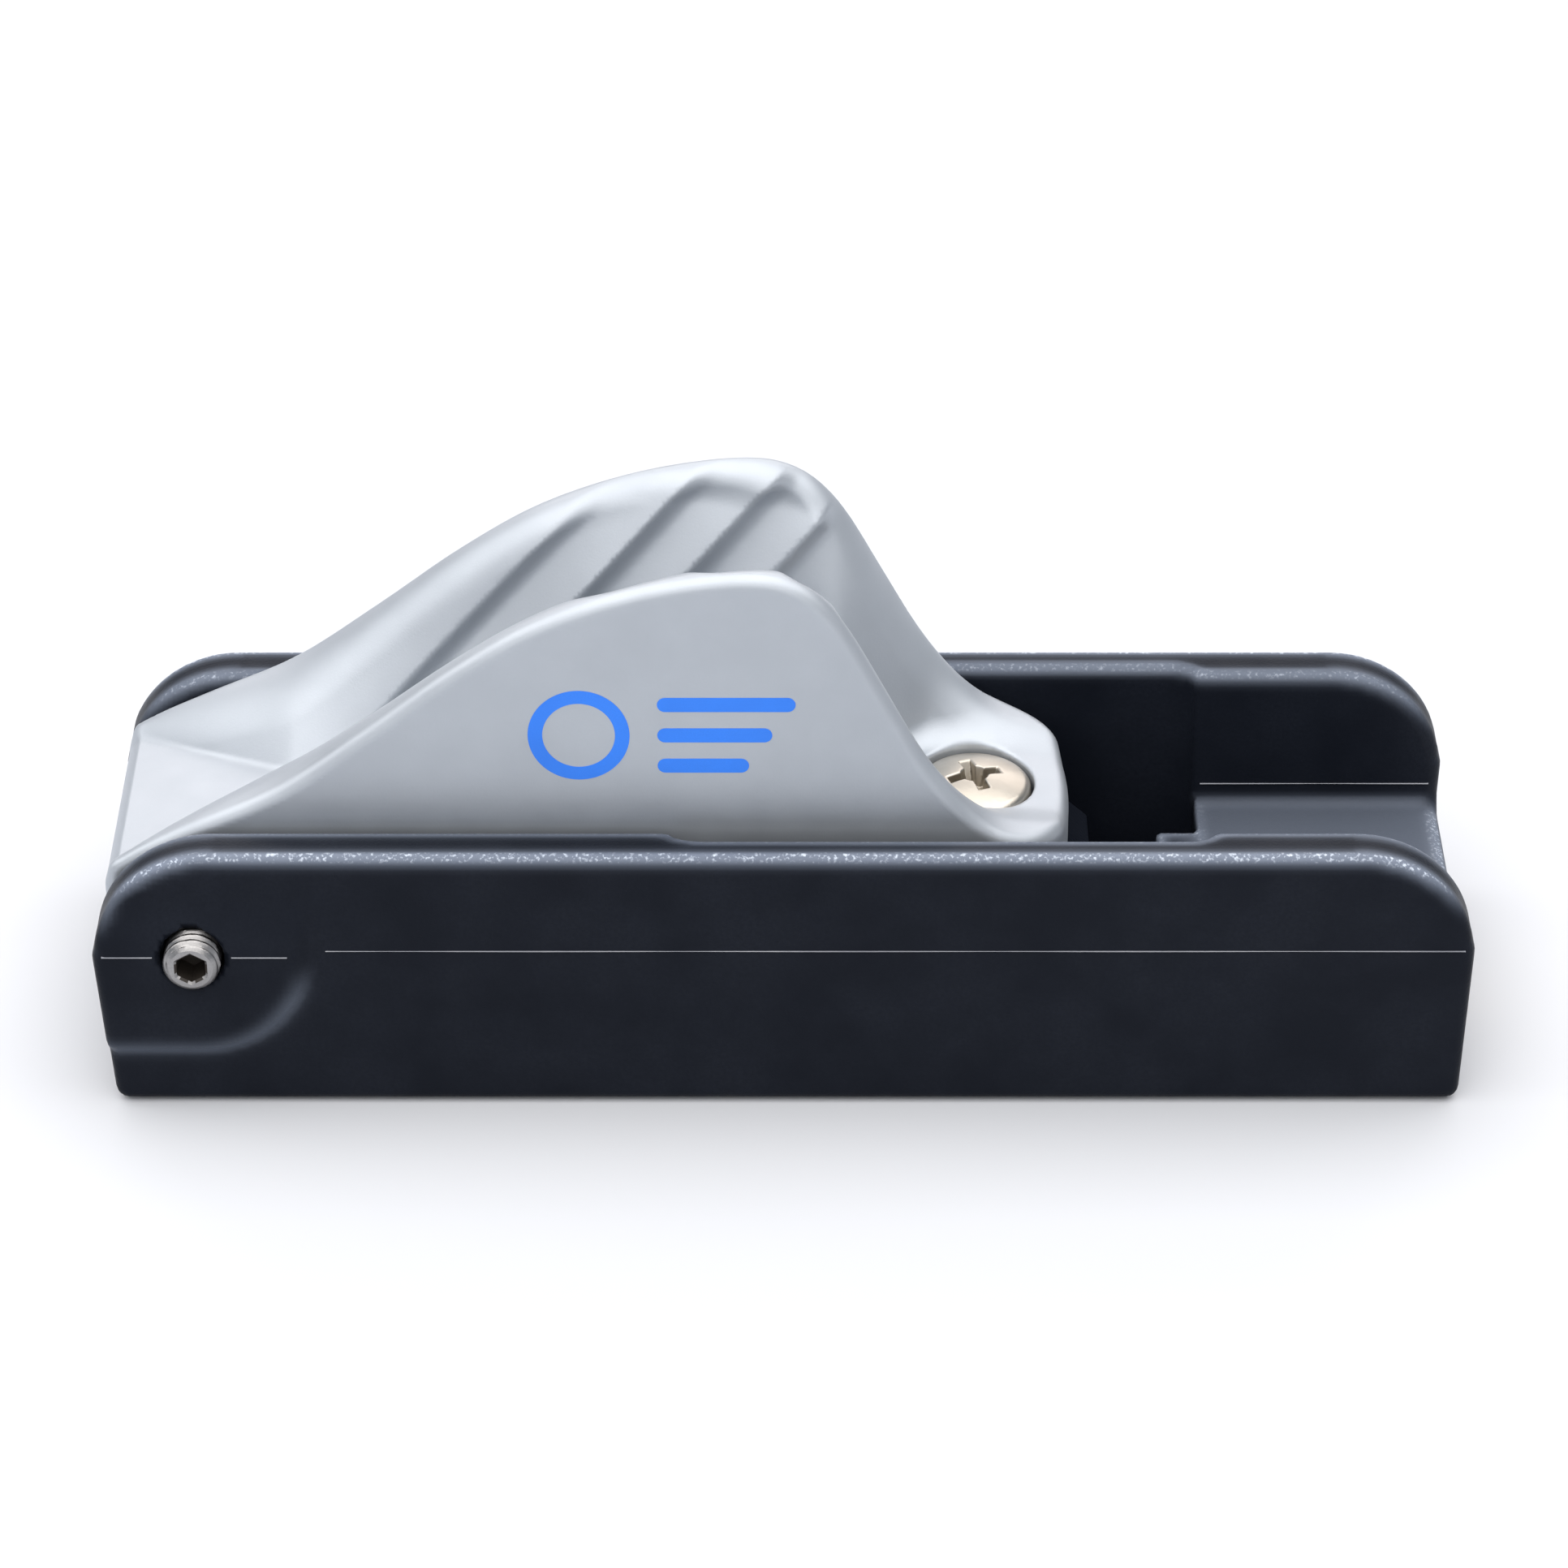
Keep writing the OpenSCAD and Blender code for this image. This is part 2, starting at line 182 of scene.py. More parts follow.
def rib_profiles():
    """Depth of the ribbed wall, and how deep in a valley it is from 0 to 1, across the ribs."""
    s = np.arange(*RIB_SPAN)
    turn = s / (RIB_PITCH * math.sin(RIB_LEAN))
    t = turn - np.floor(turn)

    def face(part):
        return np.sin(0.5 * math.pi * np.clip(part / RIB_FACE, 0, 1))

    land = 1 - np.clip((t - RIB_FACE) / (1 - RIB_FACE), 0, 1) ** RIB_LAND_BEND
    valley = np.where(t < RIB_FACE, face(t), land)
    after = turn - (RIB_COUNT - 1)
    last = after >= 0
    stays, pitches = RIB_TAIL
    tail = stays + (1 - stays) * np.exp(-(after / pitches) ** 2)
    valley[last] = (face(after) * tail)[last]
    valley[s < 0] = 0
    depth = soft_line(s, RIB_DEPTH * valley - RIB_PROUD, RIB_BLUR, *RIB_SPAN)
    return depth, soft_line(s, valley, VALLEY_BLUR, *RIB_SPAN)


rib_offset, rib_valley = rib_profiles()


def across_ribs(x, z):
    """Distance from the first rib's crest line, square to the ribs."""
    return (x - RIB_FIRST_X) * math.sin(RIB_LEAN) - (z - RIB_REF_Z) * math.cos(RIB_LEAN)


def groove_void(x, y, z):
    """The rope's space: a V that opens to the lead-in at the nose and the scoop at the rear."""
    floor = ramp_z(x)
    rise = np.maximum(top_z(x) - floor, LEAST_RISE)
    run = top_half(x) - foot_half(x)
    u = (z - floor) / rise
    # above its top the wall soon stands upright, and below its foot it soon stops leaning
    u = np.minimum(u, 1 + ABOVE_TOP * np.tanh((u - 1) / ABOVE_TOP))
    lean = run * np.maximum(u, -BELOW_FOOT)
    least, reach = RIB_FADE
    fade = least + (1 - least) * smoothstep((rim_z(x) - z - RIB_RIM_GAP) / reach)
    half = foot_half(x) + lean + fade * rib_offset(across_ribs(x, z))
    wall = (np.abs(y) - half) / np.sqrt(1 + (run / rise) ** 2)
    return round_and(wall, floor - z, foot_fillet(x))


# Casting: outline, the boss round the pivot, the cavity underneath and the catch screw's hole
END_BOW_R = 30.0
END_CORNER_R = 4.0
NOSE_CORNER_R = 0.9
RIM_OUTER_R = 0.95
RIM_INNER_R = 1.9
RIM_VALLEY_SHARPER = 0.45
SKIRT_X = -36.0
SKIRT_Z = 9.0
PIVOT_BOSS_R = 6.0
SKIRT_FILLET = 1.0
NOSE_FILLET = 0.5
LOWER_EDGE = 0.45
CAVITY_HALF = 7.1
CAVITY_TOP = 14.0
CAVITY_X = -33.0
CAVITY_R = 0.9
CAVITY_EDGE = 0.25
BUSH_HOLE_R = 2.8
BUSH_HOLE_EDGE = 0.12
COUNTERBORE_R = 4.25
COUNTERBORE_Z = 15.7
COUNTERBORE_EDGE = 0.35
CATCH_HOLE_R = 2.15
CATCH_HOLE_EDGE = 0.1


def cleat_field(x, y, z):
    ay = np.abs(y)
    top = (z - rim_z(x)) / np.sqrt(1 + rim_slope(x) ** 2)
    side = (ay - CLEAT_HALF + math.tan(DRAFT) * np.maximum(z - PAD_Z, 0)) * math.cos(DRAFT)
    plan = round_and(side, x - CLEAT_END + y * y / (2 * END_BOW_R), END_CORNER_R)
    plan = round_and(plan, NOSE_X - x, NOSE_CORNER_R)
    body = round_and(plan, top, RIM_OUTER_R)
    # lower outline: skirts, the round boss at the pivot and the underside of the nose
    pivot_r = np.hypot(x - PIVOT[0], z - PIVOT[2])
    skirts = np.maximum(SKIRT_X - x, SKIRT_Z - z)
    lower = round_or(skirts, pivot_r - PIVOT_BOSS_R, SKIRT_FILLET)
    lower = round_or(lower, PIVOT[2] - z, NOSE_FILLET)
    body = round_and(body, lower, LOWER_EDGE)
    # rims roll softly into the groove, and more sharply where a valley between ribs meets them
    roll = RIM_INNER_R - RIM_VALLEY_SHARPER * rib_valley(across_ribs(x, z))
    body = round_and(body, -groove_void(x, y, z), roll)
    # open underside
    cavity = round_and(ay - CAVITY_HALF, z - CAVITY_TOP, CAVITY_R)
    cavity = round_and(cavity, CAVITY_X - x, CAVITY_R)
    body = round_and(body, -cavity, CAVITY_EDGE)
    body = round_and(body, BUSH_HOLE_R - pivot_r, BUSH_HOLE_EDGE)
    # counterbored hole for the catch screw
    catch_r = np.hypot(x - CATCH[0], y)
    counterbore = np.maximum(catch_r - COUNTERBORE_R, COUNTERBORE_Z - z)
    body = round_and(body, -counterbore, COUNTERBORE_EDGE)
    return round_and(body, CATCH_HOLE_R - catch_r, CATCH_HOLE_EDGE)


# Base: its outer faces
END_R = 8.4
END_TAPER = (0.075, 0.035)
HALVES_STEP = 0.12
HALVES_RAMP = 0.3
FOOT_EDGE = 0.9
WALL_EDGE = 0.78
BOSS_R = 8.4
BOSS_SLOPE = 1.4
BOSS_FADE = 4.5

# Base: the channel, with walls that step back in front and a shallow part over the rear block
INNER_HALF = 10.1
INNER_EDGE = 1.0
FLOOR_Z = 3.2
FLOOR_R = 0.8
RELIEF_X = (-6.5, 30.0)
RELIEF_DEPTH = 1.0
RELIEF_R = 1.9
RELIEF_RUN_IN = 1.2
RELIEF_SLOPE = 0.55
BLOCK_X = 30.0
BLOCK_TOP = 9.5
BLOCK_R = 1.0

# Base: the tongue in front of the block, and the stop that the tipped cleat's nose meets. Both
# are sunk into what they stand on.
TONGUE_HALF = 6.4
TONGUE_X = 27.0
TONGUE_TOP_EDGE = 0.5
TONGUE_EDGE = 0.4
TONGUE_FILLET = 0.3
STOP_X = -42.5
STOP_TOP = 5.4
STOP_EDGE = 0.4
STOP_INTO_WALL = 0.2
STOP_SET_BACK = 0.1
SUNK = 1.0

# Base: the pivot's mouth, threaded hole and insert, the fixing holes, and the release parts'
# room as radius, start and end along X
MOUTH_R = 2.25
MOUTH_LIFT = 0.2
MOUTH_DEPTH = 1.5
MOUTH_EDGE = 0.18
PIVOT_HOLE_R = 2.02
PIVOT_HOLE_EDGE = 0.1
PIVOT_SEAT_R = 3.0
PIVOT_SEAT_INSET = 0.3
FIX_X = (-26.0, 10.0)
FIX_HOLE_R = 2.65
FIX_HEAD_R = 5.2
FIX_HEAD_Z = 1.6
HOLE_EDGE = 0.2
SEAT_EDGE = 0.15
TROUGH = (2.5, 20.0, 28.0)
GUIDE_BORE = (3.3, 26.0, 31.2)
SPRING_BORE = (2.75, 31.0)
ADJUSTER_BORE = (3.5, 41.6)


def boss_reach(x, z):
    """Distance from the pivot to the right and downwards; none above it or in front of it."""
    return np.hypot(np.maximum(x - PIVOT[0], 0), np.minimum(z - PIVOT[2], 0))


def boss_rise(x, z):
    """How far the pivot boss stands out of the wall: full near the pivot, softly edged."""
    fade = 1 - smoothstep((z - PARTING_Z) / BOSS_FADE)
    return BOSS_RISE * smoothstep((BOSS_R - boss_reach(x, z)) / BOSS_SLOPE) * fade


def base_field(x, y, z):
    ay = np.abs(y)
    # the ends taper below the parting line, and the upper half is set back from the lower
    taper = np.where(x < 0, *END_TAPER) * np.maximum(PARTING_Z - z, 0)
    set_back = HALVES_STEP * smoothstep((z - PARTING_Z) / HALVES_RAMP)
    end = np.abs(x) - HALF_LEN + taper + set_back
    outline = round_and(round_and(end, z - BASE_TOP, END_R), -z, FOOT_EDGE)
    body = round_and(outline, ay - HALF_W - boss_rise(x, z), WALL_EDGE)
    # channel
    front = round_and(ay - INNER_HALF, FLOOR_Z - z, FLOOR_R)
    relief = round_and(ay - INNER_HALF - RELIEF_DEPTH, x - RELIEF_X[1], RELIEF_R)
    run_in = (RELIEF_X[0] - RELIEF_RUN_IN - x) * RELIEF_SLOPE
    relief = round_and(relief, run_in, RELIEF_RUN_IN)
    relief = round_and(relief, FLOOR_Z - z, FLOOR_R)
    front = np.maximum(np.minimum(front, relief), x - BLOCK_X)
    rear = round_and(ay - INNER_HALF, BLOCK_TOP - z, BLOCK_R)
    body = round_and(body, -np.minimum(front, rear), INNER_EDGE)
    # tongue and stop
    tongue = round_and(ay - TONGUE_HALF, z - BLOCK_TOP, TONGUE_TOP_EDGE)
    tongue = round_and(tongue, TONGUE_X - x, TONGUE_EDGE)
    tongue = np.maximum(np.maximum(tongue, x - BLOCK_X - SUNK), SUNK - z)
    body = round_or(body, tongue, TONGUE_FILLET)
    stop = round_and(x - STOP_X, z - STOP_TOP, STOP_EDGE)
    stop = np.maximum(stop, ay - INNER_HALF - STOP_INTO_WALL)
    stop = np.maximum(stop, np.maximum(SUNK - z, end + STOP_SET_BACK))
    body = round_or(body, stop, STOP_EDGE)
    # pivot
    pivot_r = np.hypot(x - PIVOT[0], z - PIVOT[2])
    mouth_r = np.hypot(x - PIVOT[0], z - PIVOT[2] - MOUTH_LIFT)
    mouth = np.maximum(mouth_r - MOUTH_R, y + HALF_W + BOSS_RISE - MOUTH_DEPTH)
    body = round_and(body, -mouth, MOUTH_EDGE)
    hole = np.maximum(pivot_r - PIVOT_HOLE_R, y - INNER_HALF)
    body = round_and(body, -hole, PIVOT_HOLE_EDGE)
    seat = np.maximum(pivot_r - PIVOT_SEAT_R, INNER_HALF + PIVOT_SEAT_INSET - y)
    body = round_and(body, -seat, SEAT_EDGE)
    # fixing holes with recesses for the screw heads
    for fix_x in FIX_X:
        r = np.hypot(x - fix_x, y)
        body = round_and(body, -np.maximum(r - FIX_HEAD_R, FIX_HEAD_Z - z), HOLE_EDGE)
        body = round_and(body, FIX_HOLE_R - r, HOLE_EDGE)
    # trough and stepped bore of the release parts
    r = np.hypot(y, z - RELEASE_Z)
    for (radius, start, end_x), edge in ((TROUGH, HOLE_EDGE), (GUIDE_BORE, SEAT_EDGE)):
        bore = np.maximum(r - radius, np.maximum(start - x, x - end_x))
        body = round_and(body, -bore, edge)
    body = np.maximum(body, -np.maximum(r - SPRING_BORE[0], SPRING_BORE[1] - x))
    bore = np.maximum(r - ADJUSTER_BORE[0], ADJUSTER_BORE[1] - x)
    return round_and(body, -bore, HOLE_EDGE)


# Catch screw: a domed pan head with a cross recess, which narrows with its depth, and a threaded
# shank. DRAW is how much a size of the recess loses for each millimetre of depth.
HEAD_R = 4.12
HEAD_LOW = 15.7
HEAD_TOP = 18.6
HEAD_UPPER_EDGE = 0.6
HEAD_EDGE = 0.2
DOME_R = 10.0
SHANK_R = 1.86
SHANK_LOW = 4.7
SHANK_HIGH = 17.0
SHANK_TIP_EDGE = 0.5
THREAD_TOP = 13.5
THREAD_PITCH = 0.7
THREAD_HEIGHT = 0.14
RECESS_TURN = math.radians(20)
RECESS_DEPTH = 1.6
RECESS_EDGE = 0.15
ARM_LENGTH, ARM_DRAW = 2.05, 0.5
ARM_HALF, ARM_HALF_DRAW = 0.42, 0.06
CONE_R, CONE_DRAW = 1.0, 0.25


def catch_screw_field(x, y, z):
    dx, dy = x - CATCH[0], y
    r = np.hypot(dx, dy)
    dome = np.sqrt(r ** 2 + (z - HEAD_TOP + DOME_R) ** 2) - DOME_R
    head = round_and(r - HEAD_R, dome, HEAD_UPPER_EDGE)
    head = round_and(head, HEAD_LOW - z, HEAD_EDGE)
    thread = THREAD_HEIGHT * np.sin(2 * math.pi * (z / THREAD_PITCH) - np.arctan2(dy, dx))
    shank = r - SHANK_R - np.where(z < THREAD_TOP, thread, 0.0)
    shank = round_and(shank, SHANK_LOW - z, SHANK_TIP_EDGE)
    screw = round_or(head, np.maximum(shank, z - SHANK_HIGH), HEAD_EDGE)
    a = dx * math.cos(RECESS_TURN) + dy * math.sin(RECESS_TURN)
    b = -dx * math.sin(RECESS_TURN) + dy * math.cos(RECESS_TURN)
    depth = HEAD_TOP - z
    arm = ARM_LENGTH - ARM_DRAW * depth
    slot_a = np.maximum(np.abs(a) - arm, np.abs(b) - ARM_HALF + ARM_HALF_DRAW * depth)
    slot_b = np.maximum(np.abs(b) - arm, np.abs(a) - ARM_HALF + ARM_HALF_DRAW * depth)
    cone = r - CONE_R + CONE_DRAW * depth
    cross = np.minimum(np.minimum(slot_a, slot_b), cone)
    return round_and(screw, -np.maximum(cross, depth - RECESS_DEPTH), RECESS_EDGE)


# ---------------------------------------------------------------- fields to meshes

def surface_nets(field, low, high, cell):
    """Vertices and quads of the field's zero surface on a regular grid."""
    count = [int(math.ceil((high[k] - low[k]) / cell)) + 1 for k in range(3)]
    axes = [low[k] + cell * np.arange(count[k]) for k in range(3)]
    value = field(axes[0][:, None, None], axes[1][None, :, None], axes[2][None, None, :])
    value = np.ascontiguousarray(np.broadcast_to(value, count), dtype=np.float64)
    inside = value < 0
    core = tuple(slice(0, n - 1) for n in count)
    offsets = [(i, j, k) for i in (0, 1) for j in (0, 1) for k in (0, 1)]
    total = sum(inside[tuple(slice(o, n - 1 + o) for o, n in zip(offset, count))].astype(np.int8)
                for offset in offsets)
    mixed = (total > 0) & (total < 8)
    cells = np.argwhere(mixed)
    index = np.full(inside[core].shape, -1, np.int64)
    index[mixed] = np.arange(len(cells))
    # one vertex in each cell that the surface passes through, at the mean of its edge crossings
    place = np.zeros((len(cells), 3))
    hits = np.zeros(len(cells))
    for axis in range(3):
        for o in offsets:
            if o[axis]:
                continue
            start = cells + np.array(o)
            end = start.copy()
            end[:, axis] += 1
            v0, v1 = value[tuple(start.T)], value[tuple(end.T)]
            cross = (v0 < 0) != (v1 < 0)
            t = np.where(cross, v0 / np.where(cross, v0 - v1, 1), 0)
            step = np.array(o, float) + t[:, None] * np.eye(3)[axis]
            place += np.where(cross[:, None], step, 0)
            hits += cross
    points = np.array(low) + cell * (cells + place / hits[:, None])
    # one quad round each grid edge that the surface crosses
    quads = []
    for axis in range(3):
        b, c = (axis + 1) % 3, (axis + 2) % 3
        here = [slice(None)] * 3
        there = [slice(None)] * 3
        here[axis], there[axis] = slice(0, -1), slice(1, None)
        a_in, b_in = inside[tuple(here)], inside[tuple(there)]
        edge = np.argwhere(a_in != b_in)
        edge = edge[(edge[:, b] > 0) & (edge[:, c] > 0)]
        edge = edge[(edge[:, b] < count[b] - 1) & (edge[:, c] < count[c] - 1)]
        outward = a_in[tuple(edge.T)]
        around = []
        for db, dc in ((0, 0), (1, 0), (1, 1), (0, 1)):
            e = edge.copy()
            e[:, b] -= db
            e[:, c] -= dc
            around.append(index[tuple(e.T)])
        q = np.array(around).T
        q[~outward] = q[~outward][:, ::-1]
        quads.append(q)
    return points, np.concatenate(quads)


def gradient(field, p, step=0.02):
    """The field's gradient at points p."""
    g = np.zeros_like(p)
    for k in range(3):
        d = np.zeros(3)
        d[k] = step
        g[:, k] = (field(*(p + d).T) - field(*(p - d).T)) / (2 * step)
    return g


def unit_gradient(field, p):
    """The field's gradient scaled to length 1: the direction that the surface faces."""
    g = gradient(field, p, 0.05)
    return g / np.maximum(np.linalg.norm(g, axis=1, keepdims=True), 1e-9)


def settle(field, points, cell):
    """Moves each point onto the field's zero surface, by at most 0.35 of a cell a round."""
    p = points.copy()
    for _ in range(4):
        g = gradient(field, p)
        push = field(*p.T) / np.maximum((g ** 2).sum(1), 0.05)
        move = -push[:, None] * g
        size = np.linalg.norm(move, axis=1, keepdims=True)
        p += move * np.minimum(1, 0.35 * cell / np.maximum(size, 1e-9))
    return p


def new_object(name, vertices, faces, smooth=True):
    """A mesh object from vertices in millimetres."""
    mesh = bpy.data.meshes.new(name)
    points = (np.asarray(vertices) * MM).tolist()
    mesh.from_pydata(points, [], [list(map(int, f)) for f in faces])
    mesh.validate()
    mesh.update()
    mesh.polygons.foreach_set("use_smooth", [smooth] * len(mesh.polygons))
    obj = bpy.data.objects.new(name, mesh)
    bpy.context.scene.collection.objects.link(obj)
    return obj


def field_object(name, field, low, high, cell):
    """A smooth-shaded mesh of the field's surface, with its normals taken from the field."""
    points, quads = surface_nets(field, np.array(low) - cell, np.array(high) + cell, cell)
    points = settle(field, points, cell)
    obj = new_object(name, points, quads)
    obj.data.normals_split_custom_set_from_vertices(unit_gradient(field, points).tolist())
    return obj


# ---------------------------------------------------------------- turned and threaded parts

AXES = {"x": (0, 1, 2), "y": (1, 2, 0), "z": (2, 0, 1)}
KNURL_GROOVES = 24
KNURL_PLAIN, KNURL_FULL = 0.6, 0.8
FLANGE_EDGE = 0.05


def turned(name, axis, centre, rows, segments=64, closed_ends=True):
    """A part with an axis: each row is (place along the axis, radius), where the radius is a
    number or a function of the angle. Rows run from one end to the other, and without closed
    ends back through the bore to the first."""
    along, u, v = AXES[axis]
    angles = 2 * math.pi * np.arange(segments) / segments
    vertices = []
    for place, radius in rows:
        if callable(radius):
            r = np.array([radius(a) for a in angles])
        else:
            r = np.full(segments, float(radius))
        ring = np.zeros((segments, 3))
        ring[:, along] = place
        ring[:, u] = centre[u] + r * np.cos(angles)
        ring[:, v] = centre[v] + r * np.sin(angles)
        vertices.append(ring)
    faces = []
    n = len(rows)
    for i in range(n if not closed_ends else n - 1):
        j = (i + 1) % n
        for k in range(segments):
            m = (k + 1) % segments
            faces.append((i * segments + k, i * segments + m, j * segments + m, j * segments + k))
    vertices = np.concatenate(vertices)
    if closed_ends:
        for row in (0, n - 1):
            tip = np.zeros((1, 3))
            tip[0, along] = rows[row][0]
            tip[0, u], tip[0, v] = centre[u], centre[v]
            vertices = np.concatenate([vertices, tip])
            hub = len(vertices) - 1
            for k in range(segments):
                a, b = row * segments + k, row * segments + (k + 1) % segments
                faces.append((hub, b, a) if row == 0 else (hub, a, b))
    obj = new_object(name, vertices, faces)
    fix_normals(obj)
    return obj


def fix_normals(obj, sharp_deg=35):
    """Outward normals, and edges sharper than sharp_deg shaded as edges."""
    bm = bmesh.new()
    bm.from_mesh(obj.data)
    bmesh.ops.remove_doubles(bm, verts=bm.verts, dist=1e-7)
    bmesh.ops.recalc_face_normals(bm, faces=bm.faces)
    for e in bm.edges:
        bent = len(e.link_faces) == 2 and e.calc_face_angle(0) > math.radians(sharp_deg)
        e.smooth = not bent
    bm.to_mesh(obj.data)
    bm.free()


def hexagon(across):
    """Radius of a hexagon of that width across its flats, as a function of the angle."""
    def radius(angle):
        a = angle % (math.pi / 3) - math.pi / 6
        return across / 2 / math.cos(a)
    return radius


def set_screw(name, axis, centre, start, end, radius, pitch, socket, depth):
    """A threaded stud with a hexagon socket in its start face."""
    sense = 1 if end > start else -1
    length = abs(end - start)
    steps_per_turn = 10
    core_r = radius * 0.8
    thread_depth = 0.45 * pitch
    chamfer_length = 0.9 * pitch
    inset = 0.1
    # the socket from its bottom to its chamfered mouth, then the face and the edge round it
    rows = [(start + sense * depth, hexagon(socket * 0.98)),
            (start + sense * 0.15, hexagon(socket)),
            (start, hexagon(socket * 1.15)),
            (start, radius * 0.76),
            (start + sense * 0.06, core_r)]

    def thread(distance):
        # chamfered ends keep the thread inside the stud's outline
        chamfer = min(1.0, (distance + inset) / chamfer_length,
                      (length - distance) / chamfer_length)

        def at(angle):
            phase = (distance / pitch - angle / (2 * math.pi)) % 1
            crest = min(1.0, 1.35 * abs(2 * phase - 1))
            full = radius - thread_depth * (1 - crest)
            return min(full, core_r + (radius * 0.2) * chamfer)
        return at

    count = int(length / pitch * steps_per_turn)
    for i in range(1, count):
        distance = inset + (length - 2 * inset) * i / count
        rows.append((start + sense * distance, thread(distance)))
    rows.append((end, radius * 0.75))
    return turned(name, axis, centre, rows, 56)


def paint_socket_shade(obj, axis, centre, start, socket):
    """Gives the faces inside a set screw's socket a dark colour: painted shade of the recess."""
    reach, face_gap, deepest = 0.56 * socket, 0.02, 3
    along, u, v = AXES[axis]
    obj.data.materials.append(SOCKET_SHADE)
    for face in obj.data.polygons:
        at = np.array(face.center) / MM
        inside = math.hypot(at[u] - centre[u], at[v] - centre[v]) < reach
        if inside and face_gap < abs(at[along] - start) < deepest:
            face.material_index = 1


def knurled(radius, depth):
    """Radius of a surface with shallow grooves along it, as a function of the angle."""
    return lambda angle: radius - depth * (0.5 - 0.5 * math.cos(KNURL_GROOVES * angle))


def ring_part(name, axis, centre, start, end, outer, bore, edge=0.15, knurl=0.0, flange=None):
    """A bush or threaded insert with broken edges, as an outline turned round the axis. A flange
    is given as its radius and thickness, at the start."""
    sense = 1 if end > start else -1
    rows = [(start, bore + edge), (start, outer - edge), (start + sense * edge, outer)]
    if knurl:
        rough = knurled(outer, knurl)
        rows += [(start + sense * KNURL_PLAIN, outer), (start + sense * KNURL_FULL, rough),
                 (end - sense * KNURL_FULL, rough), (end - sense * KNURL_PLAIN, outer)]
    if flange:
        flange_r, flange_t = flange
        rows = [(start, bore + edge), (start, flange_r - edge), (start + sense * edge, flange_r),
                (start + sense * (flange_t - FLANGE_EDGE), flange_r),
                (start + sense * flange_t, flange_r - FLANGE_EDGE),
                (start + sense * flange_t, outer)]
    rows += [(end - sense * edge, outer), (end, outer - edge), (end, bore + edge),
             (end - sense * edge, bore), (start + sense * edge, bore)]
    return turned(name, axis, centre, rows, 96, closed_ends=False)


def helix(name, x0, x1, coil_r, wire_r, turns, centre, share):
    """The given share, from 0 to 1, of a compression spring along X with closed end coils that
    are ground flat."""
    steps, sides = 40, 12
    dead = 0.9
    open_share, even_share = 0.82, 0.18
    count = int(steps * turns)
    first, last = (round(count * s) for s in share)
    vertices, faces = [], []
    for i in range(last - first + 1):
        t = (first + i) / count
        angle = 2 * math.pi * turns * t
        live = smoothstep(np.array((t * turns - dead) / (turns - 2 * dead)))
        along = open_share * live + even_share * t
        x = x0 + wire_r * 0.9 + (x1 - x0 - wire_r * 1.8) * along
        c, s = math.cos(angle), math.sin(angle)
        for k in range(sides):
            a = 2 * math.pi * k / sides
            r = coil_r + wire_r * math.cos(a)
            px = min(max(x + wire_r * math.sin(a), x0), x1)
            vertices.append((px, centre[1] + r * c, centre[2] + r * s))
        if i:
            for k in range(sides):
                m = (k + 1) % sides
                faces.append(((i - 1) * sides + k, (i - 1) * sides + m,
                              i * sides + m, i * sides + k))
    faces.append(tuple(range(sides)))
    faces.append(tuple((last - first) * sides + k for k in reversed(range(sides))))
    obj = new_object(name, vertices, faces)
    fix_normals(obj, 50)
    return obj


def softened(node, name, width):
    """A new piece with the CAD node's shape and its sharp edges broken by width millimetres."""
    obj = bpy.data.objects.new(name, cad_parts[node].data.copy())
    bpy.context.scene.collection.objects.link(obj)
    obj.data.materials.clear()
    bm = bmesh.new()
    bm.from_mesh(obj.data)
    bmesh.ops.remove_doubles(bm, verts=bm.verts, dist=2e-6)
    flat = math.radians(0.5)
    bmesh.ops.dissolve_limit(bm, angle_limit=flat, verts=bm.verts, edges=bm.edges)
    bmesh.ops.recalc_face_normals(bm, faces=bm.faces)
    bm.to_mesh(obj.data)
    bm.free()
    bevel = obj.modifiers.new("bevel", "BEVEL")
    bevel.width = width * MM
    bevel.segments = 3
    bevel.limit_method = "ANGLE"
    bevel.angle_limit = math.radians(40)
    bevel.use_clamp_overlap = True
    bpy.context.view_layer.update()
    evaluated = obj.evaluated_get(bpy.context.evaluated_depsgraph_get())
    mesh = bpy.data.meshes.new_from_object(evaluated)
    obj.modifiers.clear()
    obj.data = mesh
    obj.data.polygons.foreach_set("use_smooth", [True] * len(obj.data.polygons))
    fix_normals(obj, 40)
    return obj


# ---------------------------------------------------------------- materials

HIGHLIGHT_MASK = "painted_highlights"
TONE_MM = 6.0
ROUGH_MM = 2.5
GLINT_MM = 0.26
GLINT_FROM, GLINT_FULL = 0.42, 0.8


